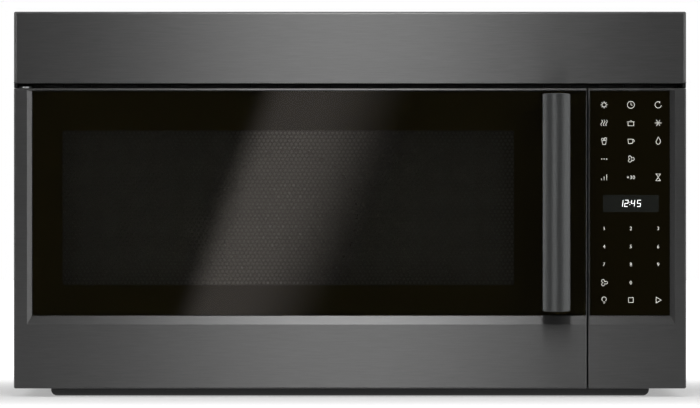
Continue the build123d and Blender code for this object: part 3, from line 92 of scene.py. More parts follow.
# %% [markdown]
# ## The camera
# The photo is taken straight from the front and shows no side of the cabinet, so the camera
# looks level along +Y at half the height of the picture. A long lens from 8 m away keeps the
# two sides parallel and lets the pan under the door show nearly at its full height. The lens
# follows from the width that the picture holds at the face of the door: the sensor's width
# over the lens is the picture's width over the distance.

# %% The camera
PICTURE_WIDTH = 700
PICTURE_HEIGHT = 408
face_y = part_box("vent_panel")[0].y
metres_per_pixel = 1.131 * MM
picture_span = PICTURE_WIDTH * metres_per_pixel
distance = 8.0
FLOOR_ROW = 396.65
middle_row_z = (FLOOR_ROW - PICTURE_HEIGHT / 2) * metres_per_pixel

sensor_width = 36
camera_data = bpy.data.cameras.new("camera")
camera_data.sensor_width = sensor_width
camera_data.lens = sensor_width * distance / picture_span
camera = bpy.data.objects.new("camera", camera_data)
camera.location = (0, face_y - distance, middle_row_z)
camera.rotation_euler = (math.radians(90), 0, 0)
bpy.context.scene.collection.objects.link(camera)
bpy.context.scene.camera = camera
print("lens:", round(camera_data.lens, 1), "mm at", distance, "m")

# %% [markdown]
# ## Two small helpers
# Colours are written as they look on a screen, as sRGB hex codes, but the renderer works with
# linear light. One function turns the first into the second. Another adds a node to a
# material and sets and links it in one line, because a material is easier to read when each
# node is one statement.


# %% Two small helpers
def linear(code):
    """Linear colour of an sRGB code: the dark part over 12.92, the rest to the power 2.4."""
    part = np.array([int(code[i:i + 2], 16) for i in (1, 3, 5)]) / 255
    light = np.where(part <= 0.04045, part / 12.92, ((part + 0.055) / 1.055) ** 2.4)
    return (*light.tolist(), 1.0)


def add(tree, kind, props=None, values=None, links=None):
    """Adds one node to a tree, then sets its properties, its input values and its links."""
    node = tree.nodes.new("ShaderNode" + kind)
    for name, value in (props or {}).items():
        setattr(node, name, value)
    for name, value in (values or {}).items():
        node.inputs[name].default_value = value
    for name, socket in (links or {}).items():
        tree.links.new(socket, node.inputs[name])
    return node


print("mid grey in linear light:", [round(v, 3) for v in linear("#808080")[:3]])

# %% [markdown]
# ## The studio
# A product like this is lit in a dark room by large soft lamps. Black glass and brushed steel
# show their surroundings and little else, so the room matters more than the lamps: a dark
# curtain behind the camera keeps the glass black, and the white of the backdrop is what the
# camera sees directly. The world is white to the camera, to reflections and through glass,
# and dimmer as a light on dull surfaces, so that the lamps shape those.

# %% The white room
room_fill = 0.45
world = bpy.data.worlds.new("white_room")
bpy.context.scene.world = world
world.use_nodes = True
tree = world.node_tree
tree.nodes.clear()
path = add(tree, "LightPath")
seen = add(tree, "Math", {"operation": "MAXIMUM"},
           links={0: path.outputs["Is Camera Ray"], 1: path.outputs["Is Glossy Ray"]})
seen = add(tree, "Math", {"operation": "MAXIMUM"},
           links={0: seen.outputs[0], 1: path.outputs["Is Transmission Ray"]})
shown = add(tree, "Background", values={"Color": (1, 1, 1, 1), "Strength": 1.0})
fill = add(tree, "Background", values={"Color": (1, 1, 1, 1), "Strength": room_fill})
both = add(tree, "MixShader",
           links={0: seen.outputs[0], 1: fill.outputs[0], 2: shown.outputs[0]})
add(tree, "OutputWorld", links={"Surface": both.outputs[0]})
scene = bpy.context.scene
scene.view_settings.view_transform = "Standard"
print("the room is white where it is seen and", room_fill, "as a fill light")

# %% [markdown]
# ## The floor
# The floor ends a little in front of the oven, as a table top in a studio does. If it went on,
# the black glass would mirror it as a pale band. Its white comes partly from a glow of its own
# and partly from the lamps, so the shadow under the oven stays. The glow is lowest next to the
# oven's outline, which paints a soft shadow round the oven on top of the real one, and it grows
# with the distance, so the far floor meets the white room without a line.
# That distance is worked out in the material: how far a point lies beyond half the oven's
# width and half its depth, each taken as zero inside, and the length of the two together.
# From below the floor is clear, so that the oven's underside can be looked at too.


# %% The floor
def flat_stage(name, corners, material):
    """One four sided face through the corners, for a floor, a curtain or a lamp's card."""
    mesh = bpy.data.meshes.new(name)
    mesh.from_pydata([tuple(corner) for corner in corners], [], [(0, 1, 2, 3)])
    mesh.materials.append(material)
    stage = bpy.data.objects.new(name, mesh)
    bpy.context.scene.collection.objects.link(stage)
    return stage


def new_tree(name):
    """A new empty material and its node tree."""
    material = bpy.data.materials.new(name)
    material.use_nodes = True
    material.node_tree.nodes.clear()
    return material, material.node_tree


floor_paper, tree = new_tree("floor_paper")
coords = add(tree, "TexCoord")
fibre = add(tree, "TexNoise", values={"Scale": 900.0, "Detail": 3.0},
            links={"Vector": coords.outputs["Object"]})
pale = add(tree, "MixRGB", values={0: 0.02, 1: linear("#a8a8a8")},
           links={2: fibre.outputs["Color"]})
matt = add(tree, "BsdfDiffuse", links={"Color": pale.outputs[0]})
middle = [(high + low) / 2 for low, high in zip(cad_low, cad_high)]
half = [(high - low) / 2 for low, high in zip(cad_low, cad_high)]
place = add(tree, "VectorMath", {"operation": "SUBTRACT"}, {1: (middle[0], middle[1], 0)},
            {0: coords.outputs["Object"]})
place = add(tree, "VectorMath", {"operation": "ABSOLUTE"}, links={0: place.outputs[0]})
beyond = add(tree, "VectorMath", {"operation": "SUBTRACT"}, {1: (half[0], half[1], 1)},
             {0: place.outputs[0]})
beyond = add(tree, "VectorMath", {"operation": "MAXIMUM"}, {1: (0, 0, 0)}, {0: beyond.outputs[0]})
away = add(tree, "VectorMath", {"operation": "LENGTH"}, links={0: beyond.outputs[0]})
# Painted shadow: the floor's glow is lowest next to the oven and rises with the distance from it.
painted_shadow_glow = add(tree, "MapRange", {"interpolation_type": "SMOOTHSTEP"},
           {"From Min": -0.05, "From Max": 0.75, "To Min": 0.37, "To Max": 0.98},
           {"Value": away.outputs["Value"]})
glow = add(tree, "Emission", values={"Color": (1, 1, 1, 1)},
           links={"Strength": painted_shadow_glow.outputs["Result"]})
sum_up = add(tree, "AddShader", links={0: matt.outputs[0], 1: glow.outputs[0]})
face = add(tree, "NewGeometry")
clear = add(tree, "BsdfTransparent")
one_sided = add(tree, "MixShader",
                links={0: face.outputs["Backfacing"], 1: sum_up.outputs[0], 2: clear.outputs[0]})
add(tree, "OutputMaterial", links={"Surface": one_sided.outputs[0]})
floor_front, floor_back, floor_side = face_y - 0.6, 12, 9
floor_z = -0.4 * MM
flat_stage("floor", [(-floor_side, floor_front, floor_z), (floor_side, floor_front, floor_z),
                     (floor_side, floor_back, floor_z), (-floor_side, floor_back, floor_z)],
           floor_paper)
print("floor from", round(floor_front, 2), "m")

# %% [markdown]
# ## The dark curtain and the slanted card
# The soft slanted band across the door is the mirror image of a pale card that hangs in front
# of it. The image lies as far behind the glass as the card hangs before it, so what the camera
# sees at x on the glass is further out on the card, by the ratio of the two distances. The
# card's corners follow in this way from where the photo shows the band. Its glow fades out
# towards its sides, which gives the band its soft edges. A dark curtain hangs behind the camera
# and dark flags at both sides, so that the edges of the steel stay dark. All of these are
# only there for reflections: no camera sees them, and they shade nothing. The curtain and the
# card are also there for light that has passed through glass. The back face of the clear window
# mirrors the card a second time, which is why the band is paler there than on the black print.
# For that light the curtain is a little brighter, as the room's own light would make it, so that
# the screen and the oven behind the window aren't quite black.


# %% The dark curtain
def only_mirrored(stage):
    """Leaves a stage object to reflections alone."""
    stage.visible_camera = False
    stage.visible_diffuse = False
    stage.visible_shadow = False
    stage.visible_transmission = False
    stage.visible_volume_scatter = False


curtain_glow, glow_through_glass = 0.02, 0.13


def dark_level(tree):
    """The curtain's strength: low in a mirror, higher for light that has passed through glass."""
    path = add(tree, "LightPath")
    level = add(tree, "MapRange", values={"To Min": curtain_glow, "To Max": glow_through_glass},
                links={"Value": path.outputs["Is Transmission Ray"]})
    return level.outputs["Result"]


curtain_cloth, tree = new_tree("curtain_cloth")
dark = add(tree, "Emission", values={"Color": linear("#fff6e6")},
           links={"Strength": dark_level(tree)})
add(tree, "OutputMaterial", links={"Surface": dark.outputs[0]})


def drape(name, start, end):
    """An upright curtain from one point of the plan to another."""
    foot, head = -3, 14
    return flat_stage(name, [(*start, foot), (*end, foot), (*end, head), (*start, head)],
                      curtain_cloth)


curtain_y, flag_back, curtain_side = face_y - 8.4, 4, 7
curtain = drape("curtain", (-curtain_side, curtain_y), (curtain_side, curtain_y))
left_flag = drape("left_flag", (-curtain_side, curtain_y), (-curtain_side, flag_back))
right_flag = drape("right_flag", (curtain_side, flag_back), (curtain_side, curtain_y))
for dark_wall in (curtain, left_flag, right_flag):
    only_mirrored(dark_wall)
curtain.visible_transmission = True
print("the curtain hangs", round(face_y - curtain_y, 2), "m in front of the oven")

# %% The slanted card
card_away = 3.4
spread = (distance + card_away) / distance


def mirrored(pixel_x, pixel_y):
    """The point of the card that the photo shows at a pixel of the glass."""
    x = (pixel_x - PICTURE_WIDTH / 2) * metres_per_pixel
    z = (FLOOR_ROW - pixel_y) * metres_per_pixel - middle_row_z
    return np.array([x * spread, face_y - card_away, middle_row_z + z * spread])


band_corners = [(153, 345), (320, 345), (433, 60), (258, 60)]
card_strength = 0.75
card_glow, tree = new_tree("card_glow")
coords = add(tree, "UVMap")
axes = add(tree, "SeparateXYZ", links={0: coords.outputs[0]})
rise = add(tree, "MapRange", {"interpolation_type": "SMOOTHERSTEP"},
           {"From Min": 0.0, "From Max": 0.28, "To Min": 0.0, "To Max": 1.0},
           {"Value": axes.outputs["X"]})
fall = add(tree, "MapRange", {"interpolation_type": "SMOOTHSTEP"},
           {"From Min": 0.39, "From Max": 1.0, "To Min": 1.0, "To Max": 0.0},
           {"Value": axes.outputs["X"]})
across = add(tree, "Math", {"operation": "MULTIPLY"},
             links={0: rise.outputs["Result"], 1: fall.outputs["Result"]})
level = add(tree, "Math", {"operation": "MULTIPLY_ADD"}, {1: card_strength},
            {0: across.outputs[0], 2: dark_level(tree)})
light = add(tree, "Emission", values={"Color": linear("#fff4ee")},
            links={"Strength": level.outputs[0]})
add(tree, "OutputMaterial", links={"Surface": light.outputs[0]})
card = flat_stage("card", [mirrored(*corner) for corner in band_corners], card_glow)
card_uv = card.data.uv_layers.new(name="across")
card_uv.data.foreach_set("uv", np.array([0, 0, 1, 0, 1, 1, 0, 1], np.float32))
only_mirrored(card)
card.visible_transmission = True
print("the card hangs", card_away, "m in front of the glass")

# %% [markdown]
# ## The lamps
# Five soft boxes do the work. A tall narrow one high in front makes the pale patch in the
# middle of the brushed steel: the steel's grain spreads its image up and down, but not
# sideways. One wide box from above models the edges and lays the shadow under the oven. Two
# at the sides draw a fine light line along the rounded edges and fill the slanted bevels. A
# weak one behind gives the back and the top their shape when the oven is turned.


# %% The lamps
def soft_box(name, place, aim, width, height, power):
    """A rectangular area lamp at a place, turned to look at the point aim."""
    data = bpy.data.lights.new(name, "AREA")
    data.shape = "RECTANGLE"
    data.size, data.size_y = width, height
    data.energy = power
    lamp = bpy.data.objects.new(name, data)
    lamp.location = place
    way = np.array(aim, float) - np.array(place, float)
    tilt = math.acos(-way[2] / np.linalg.norm(way))
    lamp.rotation_euler = (tilt, 0, math.atan2(-way[0], way[1]))
    lamp.visible_camera = False
    bpy.context.scene.collection.objects.link(lamp)
    return lamp


strip = soft_box("strip_box", (0, face_y - 3.0, 2.4), (0, face_y, 0.2), 0.45, 2.4, 40)
above = soft_box("top_box", (0, face_y - 0.5, 2.4), (0, 0, 0.2), 2.4, 1.0, 7)
behind = soft_box("rear_box", (0, 2.2, 1.9), (0, 0.2, 0.25), 2.0, 1.2, 16)
left = soft_box("left_box", (-1.5, face_y - 2.15, 0.9), (0, 0, 0.2), 0.9, 1.2, 32)
right = soft_box("right_box", (1.65, face_y - 2.0, 0.9), (0, 0, 0.2), 1.25, 1.2, 36)
print("lamps:", strip.name, above.name, behind.name, left.name, right.name)

# %% [markdown]
# ## Brushed black stainless steel
# The front plates are stainless steel, brushed along the oven and darkened by a thin film.
# Brushing leaves fine scratches in one direction. Light spreads across them and hardly along
# them, which the shader calls anisotropic, with the tangent pointing the way of the spread.
# Real scratches are 0.05 mm apart. They are drawn 0.9 mm apart and 25 mm long here, or they
# wouldn't show in a picture with a pixel of 1.1 mm. The handle is brushed round its bar and a
# little duller, so the lamps lie on it as soft upright bands.


# %% Brushed black stainless steel
def brushed(name, along, colour, roughness, spread_axis):
    """Brushed steel: noise stretched to the scratches' size, anisotropic across them."""
    material, tree = new_tree(name)
    coords = add(tree, "TexCoord")
    length, gap = 25 * MM, 0.9 * MM
    scale = [1 / gap] * 3
    scale["xyz".index(along)] = 1 / length
    long_scratch = add(tree, "Mapping", values={"Scale": scale},
                       links={"Vector": coords.outputs["Object"]})
    scratch = add(tree, "TexNoise", values={"Scale": 1.0, "Detail": 4.0, "Roughness": 0.65},
                  links={"Vector": long_scratch.outputs[0]})
    dark, pale = [[v * part for v in linear(colour)[:3]] + [1] for part in (0.78, 1.24)]
    tint = add(tree, "MixRGB", values={1: dark, 2: pale}, links={0: scratch.outputs["Fac"]})
    gloss = add(tree, "MapRange",
                values={"From Min": 0.3, "From Max": 0.7, "To Min": roughness - 0.03,
                        "To Max": roughness + 0.04},
                links={"Value": scratch.outputs["Fac"]})
    bump = add(tree, "Bump", values={"Strength": 0.18, "Distance": 0.02 * MM},
               links={"Height": scratch.outputs["Fac"]})
    way = add(tree, "CombineXYZ", values=dict(zip("XYZ", spread_axis)))
    turned = add(tree, "VectorTransform",
                 {"vector_type": "VECTOR", "convert_from": "OBJECT", "convert_to": "WORLD"},
                 links={0: way.outputs[0]})
    steel = add(tree, "BsdfPrincipled", values={"Metallic": 1.0, "Anisotropic": 1.0},
                links={"Base Color": tint.outputs[0], "Roughness": gloss.outputs["Result"],
                       "Normal": bump.outputs[0], "Tangent": turned.outputs[0]})
    add(tree, "OutputMaterial", links={"Surface": steel.outputs[0]})
    return material


black_stainless = brushed("brushed_black_stainless", "x", "#525252", 0.33, (0, 0, 1))
handle_stainless = brushed("handle_black_stainless", "x", "#4e4f4f", 0.5, (0, 0, 1))
print("made", black_stainless.name, "and", handle_stainless.name)

# %% [markdown]
# ## Toughened glass and its black print
# The door's front is clear toughened glass, and what makes it black is enamel printed on its
# back before it is toughened. The print leaves a clear window. So the glass stays clear and a
# thin black sheet lies just inside its back face: the window then has real depth, with the
# perforated screen behind it. The glass over the keys is printed all over, so it is plain
# black glass. Toughening leaves both a little wavy, about seven waves to the metre, which bends
# what they mirror. Several finishes further down need such a relief too, so it is a function.


# %% Relief
def relief(tree, scale, detail, strength, depth):
    """The bump of a noise that the piece carries with it, and that noise."""
    coords = add(tree, "TexCoord")
    noise = add(tree, "TexNoise", values={"Scale": scale, "Detail": detail},
                links={"Vector": coords.outputs["Object"]})
    bump = add(tree, "Bump", values={"Strength": strength, "Distance": depth},
               links={"Height": noise.outputs["Fac"]})
    return bump, noise


# %% Glass finishes
wave_scale = 7.0
door_clear, tree = new_tree("toughened_tinted_glass")
ripple, _ = relief(tree, wave_scale, 1.0, 0.05, 0.15 * MM)
glass = add(tree, "BsdfPrincipled",
            values={"Base Color": linear("#c4c5c0"), "Roughness": 0.0, "IOR": 1.5,
                    "Transmission Weight": 1.0},
            links={"Normal": ripple.outputs[0]})
add(tree, "OutputMaterial", links={"Surface": glass.outputs[0]})

key_black, tree = new_tree("printed_black_glass")
ripple, wave = relief(tree, wave_scale, 1.0, 0.05, 0.15 * MM)
shade = add(tree, "MixRGB", values={1: linear("#080601"), 2: linear("#090702")},
            links={0: wave.outputs["Fac"]})
glass = add(tree, "BsdfPrincipled", values={"Roughness": 0.02, "IOR": 1.5},
            links={"Base Color": shade.outputs[0], "Normal": ripple.outputs[0]})
add(tree, "OutputMaterial", links={"Surface": glass.outputs[0]})
print("made", door_clear.name, "and", key_black.name)

# %% [markdown]
# ## Dull finishes from one recipe
# Most other surfaces are a base colour that wanders a little, a roughness and a fine relief:
# powder coat, moulded plastic, zinc, enamel, rubber. One function mixes two colours by noise
# of a real size in millimetres and raises the same noise as a bump. What makes each finish
# itself is in the numbers: the grain's size, how far the two colours lie apart, the gloss.


# %% Dull finishes
def grained(name, low, high, grain_mm, roughness, relief_mm, metallic=0.0, stretch=(1, 1, 1),
            strength=0.5, specular=0.5):
    """A finish of two colours mixed by noise of the grain's size, raised by the same noise."""
    material, tree = new_tree(name)
    coords = add(tree, "TexCoord")
    scale = [1 / (grain_mm * MM * part) for part in stretch]
    sized = add(tree, "Mapping", values={"Scale": scale},
                links={"Vector": coords.outputs["Object"]})
    grain = add(tree, "TexNoise", values={"Scale": 1.0, "Detail": 3.0},
                links={"Vector": sized.outputs[0]})
    spread = add(tree, "MapRange", values={"From Min": 0.3, "From Max": 0.7},
                 links={"Value": grain.outputs["Fac"]})
    tint = add(tree, "MixRGB", values={1: linear(low), 2: linear(high)},
               links={0: spread.outputs["Result"]})
    gloss = add(tree, "MapRange", values={"To Min": roughness - 0.04, "To Max": roughness + 0.04},
                links={"Value": grain.outputs["Fac"]})
    bump = add(tree, "Bump", values={"Strength": strength, "Distance": relief_mm * MM},
               links={"Height": grain.outputs["Fac"]})
    surface = add(tree, "BsdfPrincipled",
                  values={"Metallic": metallic, "Specular IOR Level": specular},
                  links={"Base Color": tint.outputs[0], "Roughness": gloss.outputs["Result"],
                         "Normal": bump.outputs[0]})
    add(tree, "OutputMaterial", links={"Surface": surface.outputs[0]})
    return material


powder_coat = grained("satin_black_powder_coat", "#1c1c1d", "#262627", 1.6, 0.42, 0.06)
cast_black = grained("satin_black_cast_zinc", "#171717", "#202020", 0.9, 0.35, 0.03)
moulded_black = grained("moulded_black_polypropylene", "#121212", "#1a1a1a", 0.6, 0.5, 0.05)
acetal = grained("moulded_white_acetal", "#dedcd2", "#eae8df", 1.2, 0.38, 0.02)
filled_nylon = grained("grey_glass_filled_nylon", "#3e4143", "#4b4e50", 0.8, 0.55, 0.04)
screen_paint = grained("black_painted_screen", "#272520", "#2c2a24", 1.0, 0.6, 0.02, specular=0.1)
printed_enamel = grained("black_printed_enamel", "#191507", "#1c1809", 2.0, 0.6, 0.0,
                         specular=0.0)
grille_black = grained("matt_black_grille_moulding", "#0c0c0c", "#111111", 0.6, 0.7, 0.03,
                       specular=0.15)
carbon = grained("carbon_granules", "#0d0d0d", "#383838", 2.2, 0.9, 0.9, strength=1.0)
rubber = grained("moulded_black_rubber", "#141414", "#1b1b1b", 0.7, 0.75, 0.05)
reflector = grained("white_painted_reflector", "#e2e2de", "#eeeeea", 1.5, 0.4, 0.02)
mica = grained("pressed_mica_sheet", "#a99673", "#c9b995", 3.5, 0.45, 0.05)
print("twelve dull finishes")

# %% [markdown]
# ## Metals inside and behind
# Zinc coated sheet shows its crystals, called spangle, as flat patches of slightly different
# grey about a centimetre across. A pattern of cells, each with a grey of its own, is just that,
# under a fine relief of 700 grains to the metre. Plated, drawn and heated metals need only the
# grain recipe with the metal's colour.

# %% Zinc spangle
galvanised, tree = new_tree("galvanised_sheet")
coords = add(tree, "TexCoord")
spangle_mm = 9.0
cells = add(tree, "TexVoronoi", {"feature": "F1"}, {"Scale": 1 / (spangle_mm * MM)},
            {"Vector": coords.outputs["Object"]})
grey = add(tree, "RGBToBW", links={0: cells.outputs["Color"]})
tint = add(tree, "MixRGB", values={1: linear("#8e9194"), 2: linear("#b4b7b9")},
           links={0: grey.outputs[0]})
gloss = add(tree, "MapRange", values={"To Min": 0.32, "To Max": 0.5},
            links={"Value": grey.outputs[0]})
bump, _ = relief(tree, 700.0, 2.0, 0.25, 0.03 * MM)
zinc = add(tree, "BsdfPrincipled", values={"Metallic": 0.85},
           links={"Base Color": tint.outputs[0], "Roughness": gloss.outputs["Result"],
                  "Normal": bump.outputs[0]})
add(tree, "OutputMaterial", links={"Surface": zinc.outputs[0]})
print("made", galvanised.name, "with spangle of", spangle_mm, "mm")

# %% Other metals
plated = grained("plated_motor_steel", "#8b8c8d", "#a2a3a4", 2.5, 0.32, 0.02, metallic=1.0)
bright_zinc = grained("zinc_plated_steel", "#a9a9a4", "#c0c0ba", 1.5, 0.28, 0.01, metallic=1.0)
drawn_can = grained("drawn_aluminium", "#b9babb", "#c8c9ca", 0.8, 0.35, 0.01, metallic=1.0,
                    stretch=(12, 1, 1))
laminated = grained("varnished_core_and_copper", "#3c2c22", "#6a4a35", 0.7, 0.4, 0.2,
                    metallic=0.6, stretch=(20, 20, 1))
sheath = grained("heated_steel_sheath", "#4a403a", "#6b5f57", 3.0, 0.45, 0.02, metallic=1.0)
foil = grained("expanded_aluminium", "#a3a4a6", "#c4c5c7", 1.2, 0.36, 0.05, metallic=1.0)
print("made the plated, drawn and heated metals")

# %% [markdown]
# ## Speckled enamel, clear glass, lens and board
# Oven enamel is glass fused on steel: a light grey with darker and paler specks about a
# millimetre across, under a smooth gloss. The flange round the oven's mouth is black over the
# enamel, as it is on some ovens, and here it mostly paints the shade in the gap over the door,
# where the grey flange would show: the material asks how far forward a point lies. The tray
# and the inner pane are clear pressed soda glass. The lens over the cooktop lamps is the same
# glass with a frosted face. Circuit boards are glass fibre laminate: green, with paler copper
# lines under the lacquer.

# %% Speckled enamel
enamel, tree = new_tree("speckled_grey_enamel")
coords = add(tree, "TexCoord")
speck = add(tree, "TexVoronoi", {"feature": "F1"}, {"Scale": 1 / (4 * MM)},
            {"Vector": coords.outputs["Object"]})
dot = add(tree, "MapRange", values={"From Min": 0.12, "From Max": 0.2},
          links={"Value": speck.outputs["Distance"]})
grey = add(tree, "RGBToBW", links={0: speck.outputs["Color"]})
spot = add(tree, "MixRGB", values={1: linear("#3d3d3c"), 2: linear("#a8a8a5")},
           links={0: grey.outputs[0]})
tint = add(tree, "MixRGB", values={2: linear("#7b7b79")},
           links={0: dot.outputs["Result"], 1: spot.outputs[0]})
bump, _ = relief(tree, 1 / (6 * MM), 2.0, 0.2, 0.1 * MM)
# The black of the flange mostly paints the shade in the gap over the door.
flange_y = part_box("oven_cavity")[0].y
depth = add(tree, "SeparateXYZ", links={0: coords.outputs["Object"]})
black_flange_gap_shade = add(tree, "Math", {"operation": "LESS_THAN"}, {1: flange_y + 0.5 * MM},
              {0: depth.outputs["Y"]})
tint = add(tree, "MixRGB", values={2: linear("#0c0c0c")},
           links={0: black_flange_gap_shade.outputs[0], 1: tint.outputs[0]})
gloss = add(tree, "MapRange", values={"To Min": 0.22, "To Max": 0.6},
            links={"Value": black_flange_gap_shade.outputs[0]})
fused = add(tree, "BsdfPrincipled", values={"IOR": 1.5},
            links={"Base Color": tint.outputs[0], "Roughness": gloss.outputs["Result"],
                   "Normal": bump.outputs[0]})
add(tree, "OutputMaterial", links={"Surface": fused.outputs[0]})

# %% Clear and frosted glass
clear_glass, tree = new_tree("clear_soda_glass")
bump, _ = relief(tree, 1 / (30 * MM), 1.0, 0.1, 0.2 * MM)
soda = add(tree, "BsdfPrincipled",
           values={"Base Color": linear("#eef4f0"), "Roughness": 0.01, "IOR": 1.52,
                   "Transmission Weight": 1.0},
           links={"Normal": bump.outputs[0]})
add(tree, "OutputMaterial", links={"Surface": soda.outputs[0]})

frosted, tree = new_tree("frosted_lens_glass")
bump, _ = relief(tree, 1 / (0.8 * MM), 2.0, 0.4, 0.08 * MM)
lens = add(tree, "BsdfPrincipled",
           values={"Base Color": linear("#eceee8"), "Roughness": 0.45, "IOR": 1.5,
                   "Transmission Weight": 0.6},
           links={"Normal": bump.outputs[0]})
add(tree, "OutputMaterial", links={"Surface": lens.outputs[0]})

# %% Circuit board
board, tree = new_tree("green_lacquered_board")
coords = add(tree, "TexCoord")
tracks = add(tree, "TexBrick", {"offset": 0.3, "squash": 0.6},
             {"Scale": 1 / (14 * MM), "Mortar Size": 0.06, "Color1": linear("#1d4a2b"),
              "Color2": linear("#215231"), "Mortar": linear("#3c7a4c")},
             {"Vector": coords.outputs["Object"]})
bump = add(tree, "Bump", values={"Strength": 0.3, "Distance": 0.05 * MM},
           links={"Height": tracks.outputs["Fac"]})
lacquer = add(tree, "BsdfPrincipled", values={"Roughness": 0.35},
              links={"Base Color": tracks.outputs["Color"], "Normal": bump.outputs[0]})
add(tree, "OutputMaterial", links={"Surface": lacquer.outputs[0]})
print("made", enamel.name, clear_glass.name, frosted.name, board.name)

# %% [markdown]
# ## Every solid gets its finish
# The record names a material slot for each solid. A table from slot to finish dresses all of
# them in one pass. Three solids depart from their slot: the handle is a little duller, the
# louvre in the gap is matt, and the door's glass is clear because its print is a piece of its
# own.

# %% Finish for each slot
finish = {
    "black_stainless": black_stainless, "handle_feet": cast_black, "black_glass": key_black,
    "clear_glass": clear_glass, "frosted_lens": frosted, "cabinet_paint": powder_coat,
    "galvanised": galvanised, "oven_enamel": enamel, "screen_black": screen_paint,
    "black_plastic": moulded_black, "pale_plastic": acetal, "grey_plastic": filled_nylon,
    "filter_mesh": foil, "carbon": carbon, "motor_steel": plated, "iron_core": laminated,
    "can_aluminium": drawn_can, "circuit_board": board, "mica": mica, "heater_steel": sheath,
    "zinc_steel": bright_zinc, "lamp_white": reflector, "bush_rubber": rubber,
}
for part in frame["record"]["subparts"]:
    solid = nodes[part["node"]]
    solid.data.materials.clear()
    solid.data.materials.append(finish[part["material_slot"]])
nodes["door_handle"].data.materials[0] = handle_stainless
nodes["vent_grille"].data.materials[0] = grille_black
nodes["door_glass"].data.materials[0] = door_clear

# %% [markdown]
# ## From arrays to a piece
# New pieces are worked out as whole arrays of points and faces. One function puts them into a
# mesh, gives it a finish and lets it ride on its body. A thin piece gets its thickness from a
# Solidify modifier, which closes its edges too.


# %% From arrays to a piece
def piece(name, points, faces, body, finish, thickness=0.0):
    """A mesh of the points and faces, riding on a body; thickness is added behind the face."""
    mesh = bpy.data.meshes.new(name)
    mesh.from_pydata(np.asarray(points, float).tolist(), [], [list(map(int, f)) for f in faces])
    mesh.materials.append(finish)
    shape = bmesh.new()
    shape.from_mesh(mesh)
    bmesh.ops.remove_doubles(shape, verts=shape.verts, dist=1e-6)
    shape.to_mesh(mesh)
    shape.free()
    mesh.polygons.foreach_set("use_smooth", np.zeros(len(mesh.polygons), bool))
    made = bpy.data.objects.new(name, mesh)
    bpy.context.scene.collection.objects.link(made)
    if thickness:
        wall = made.modifiers.new("wall", "SOLIDIFY")
        wall.thickness = thickness
        wall.offset = -1
    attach(made, body)
    print(name, len(mesh.vertices), "points,", len(mesh.polygons), "faces")
    return made


# %% [markdown]
# ## The black print of the door
# The print is a sheet with a round cornered hole. Its outline is walked twice with the same
# number of points, once round the hole and once round the glass, and each pair of neighbours
# makes a face. A point of the outer walk lies in the same direction as its partner.


# %% The black print of the door
def rounded_walk(xs, zs, radius, steps=6):
    """Points round a rectangle with round corners: each corner is a quarter circle."""
    turn = np.radians(np.linspace(0, 90, steps))
    corners = []
    left, right, low, high = xs[0] + radius, xs[1] - radius, zs[0] + radius, zs[1] - radius
    for x, z, start in ((right, high, 0), (left, high, 90), (left, low, 180), (right, low, 270)):
        angle = turn + math.radians(start)
        corners.append(np.stack([x + radius * np.cos(angle), z + radius * np.sin(angle)], 1))
    return np.vstack(corners)


def ring_between(inner, outer, y):
    """A flat face at depth y between two walks with equally many points."""
    count = len(inner)
    flat = np.vstack([inner, outer])
    points = np.stack([flat[:, 0], np.full(2 * count, y), flat[:, 1]], 1)
    i = np.arange(count)
    j = (i + 1) % count
    return points, np.stack([i, i + count, j + count, j], 1)


print_depth = glass_back - 0.15 * MM
inset = 0.1 * MM
hole = rounded_walk(window_x, window_z, 1.5 * MM)
edge = rounded_walk((glass_low.x + inset, glass_high.x - inset),
                    (glass_low.z + inset, glass_high.z - inset), 0.3 * MM)
points, faces = ring_between(hole, edge, print_depth)
piece("window_print", points, faces, "door", printed_enamel,
      thickness=0.08 * MM)

# %% [markdown]
# ## The perforated screen
# Behind the glass a thin steel sheet full of holes keeps the microwaves in and lets the light
# out. The holes lie in offset rows, so each sits in a six sided cell. A cell is six faces
# between its outline and its hole, and the whole sheet is one array of cells. Real holes are
# about 1.5 mm across. These are 3.5 mm, so that the sheet stays light enough to handle.


# %% The perforated screen
def honeycomb(xs, zs, pitch, hole_radius, y):
    """Six sided cells in offset rows, each a ring of six faces round its hole."""
    rows = int((zs[1] - zs[0]) / (pitch * math.sqrt(3) / 2)) - 1
    columns = int((xs[1] - xs[0]) / pitch) - 1
    row, column = np.meshgrid(np.arange(rows), np.arange(columns), indexing="ij")
    x = (column + 0.5 * (row % 2)) * pitch
    z = row * pitch * math.sqrt(3) / 2
    x = x - x.mean() + sum(xs) / 2
    z = z - z.mean() + sum(zs) / 2
    angle = np.radians(30 + 60 * np.arange(6))
    way = np.stack([np.cos(angle), np.sin(angle)], 1)
    centre = np.stack([x.ravel(), z.ravel()], 1)[:, None, :]
    outer = centre + way * pitch / math.sqrt(3)
    inner = centre + way * hole_radius
    flat = np.concatenate([outer, inner], 1).reshape(-1, 2)
    points = np.stack([flat[:, 0], np.full(len(flat), y), flat[:, 1]], 1)
    i = np.arange(6)
    j = (i + 1) % 6
    cell = np.stack([i, j, j + 6, i + 6], 1)
    faces = (cell[None] + 12 * np.arange(rows * columns)[:, None, None]).reshape(-1, 4)
    return points, faces, (flat.min(0), flat.max(0))


screen_y = screen_low.y
pitch, hole_radius = 4.9 * MM, 1.75 * MM
points, faces, reach = honeycomb((screen_low.x, screen_high.x), (screen_low.z, screen_high.z),
                                 pitch, hole_radius, screen_y)
screen_holes = piece("screen_holes", points, faces, "door", screen_paint,
                     thickness=0.5 * MM)
inner = rounded_walk((reach[0][0] + pitch / 2, reach[1][0] - pitch / 2),
                     (reach[0][1] + pitch / 2, reach[1][1] - pitch / 2), 0.5 * MM)
outer = rounded_walk((screen_low.x, screen_high.x), (screen_low.z, screen_high.z), 2 * MM)
points, faces = ring_between(inner, outer, screen_y)
piece("screen_rim", points, faces, "door", screen_paint,
      thickness=0.6 * MM)
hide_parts("window_screen")

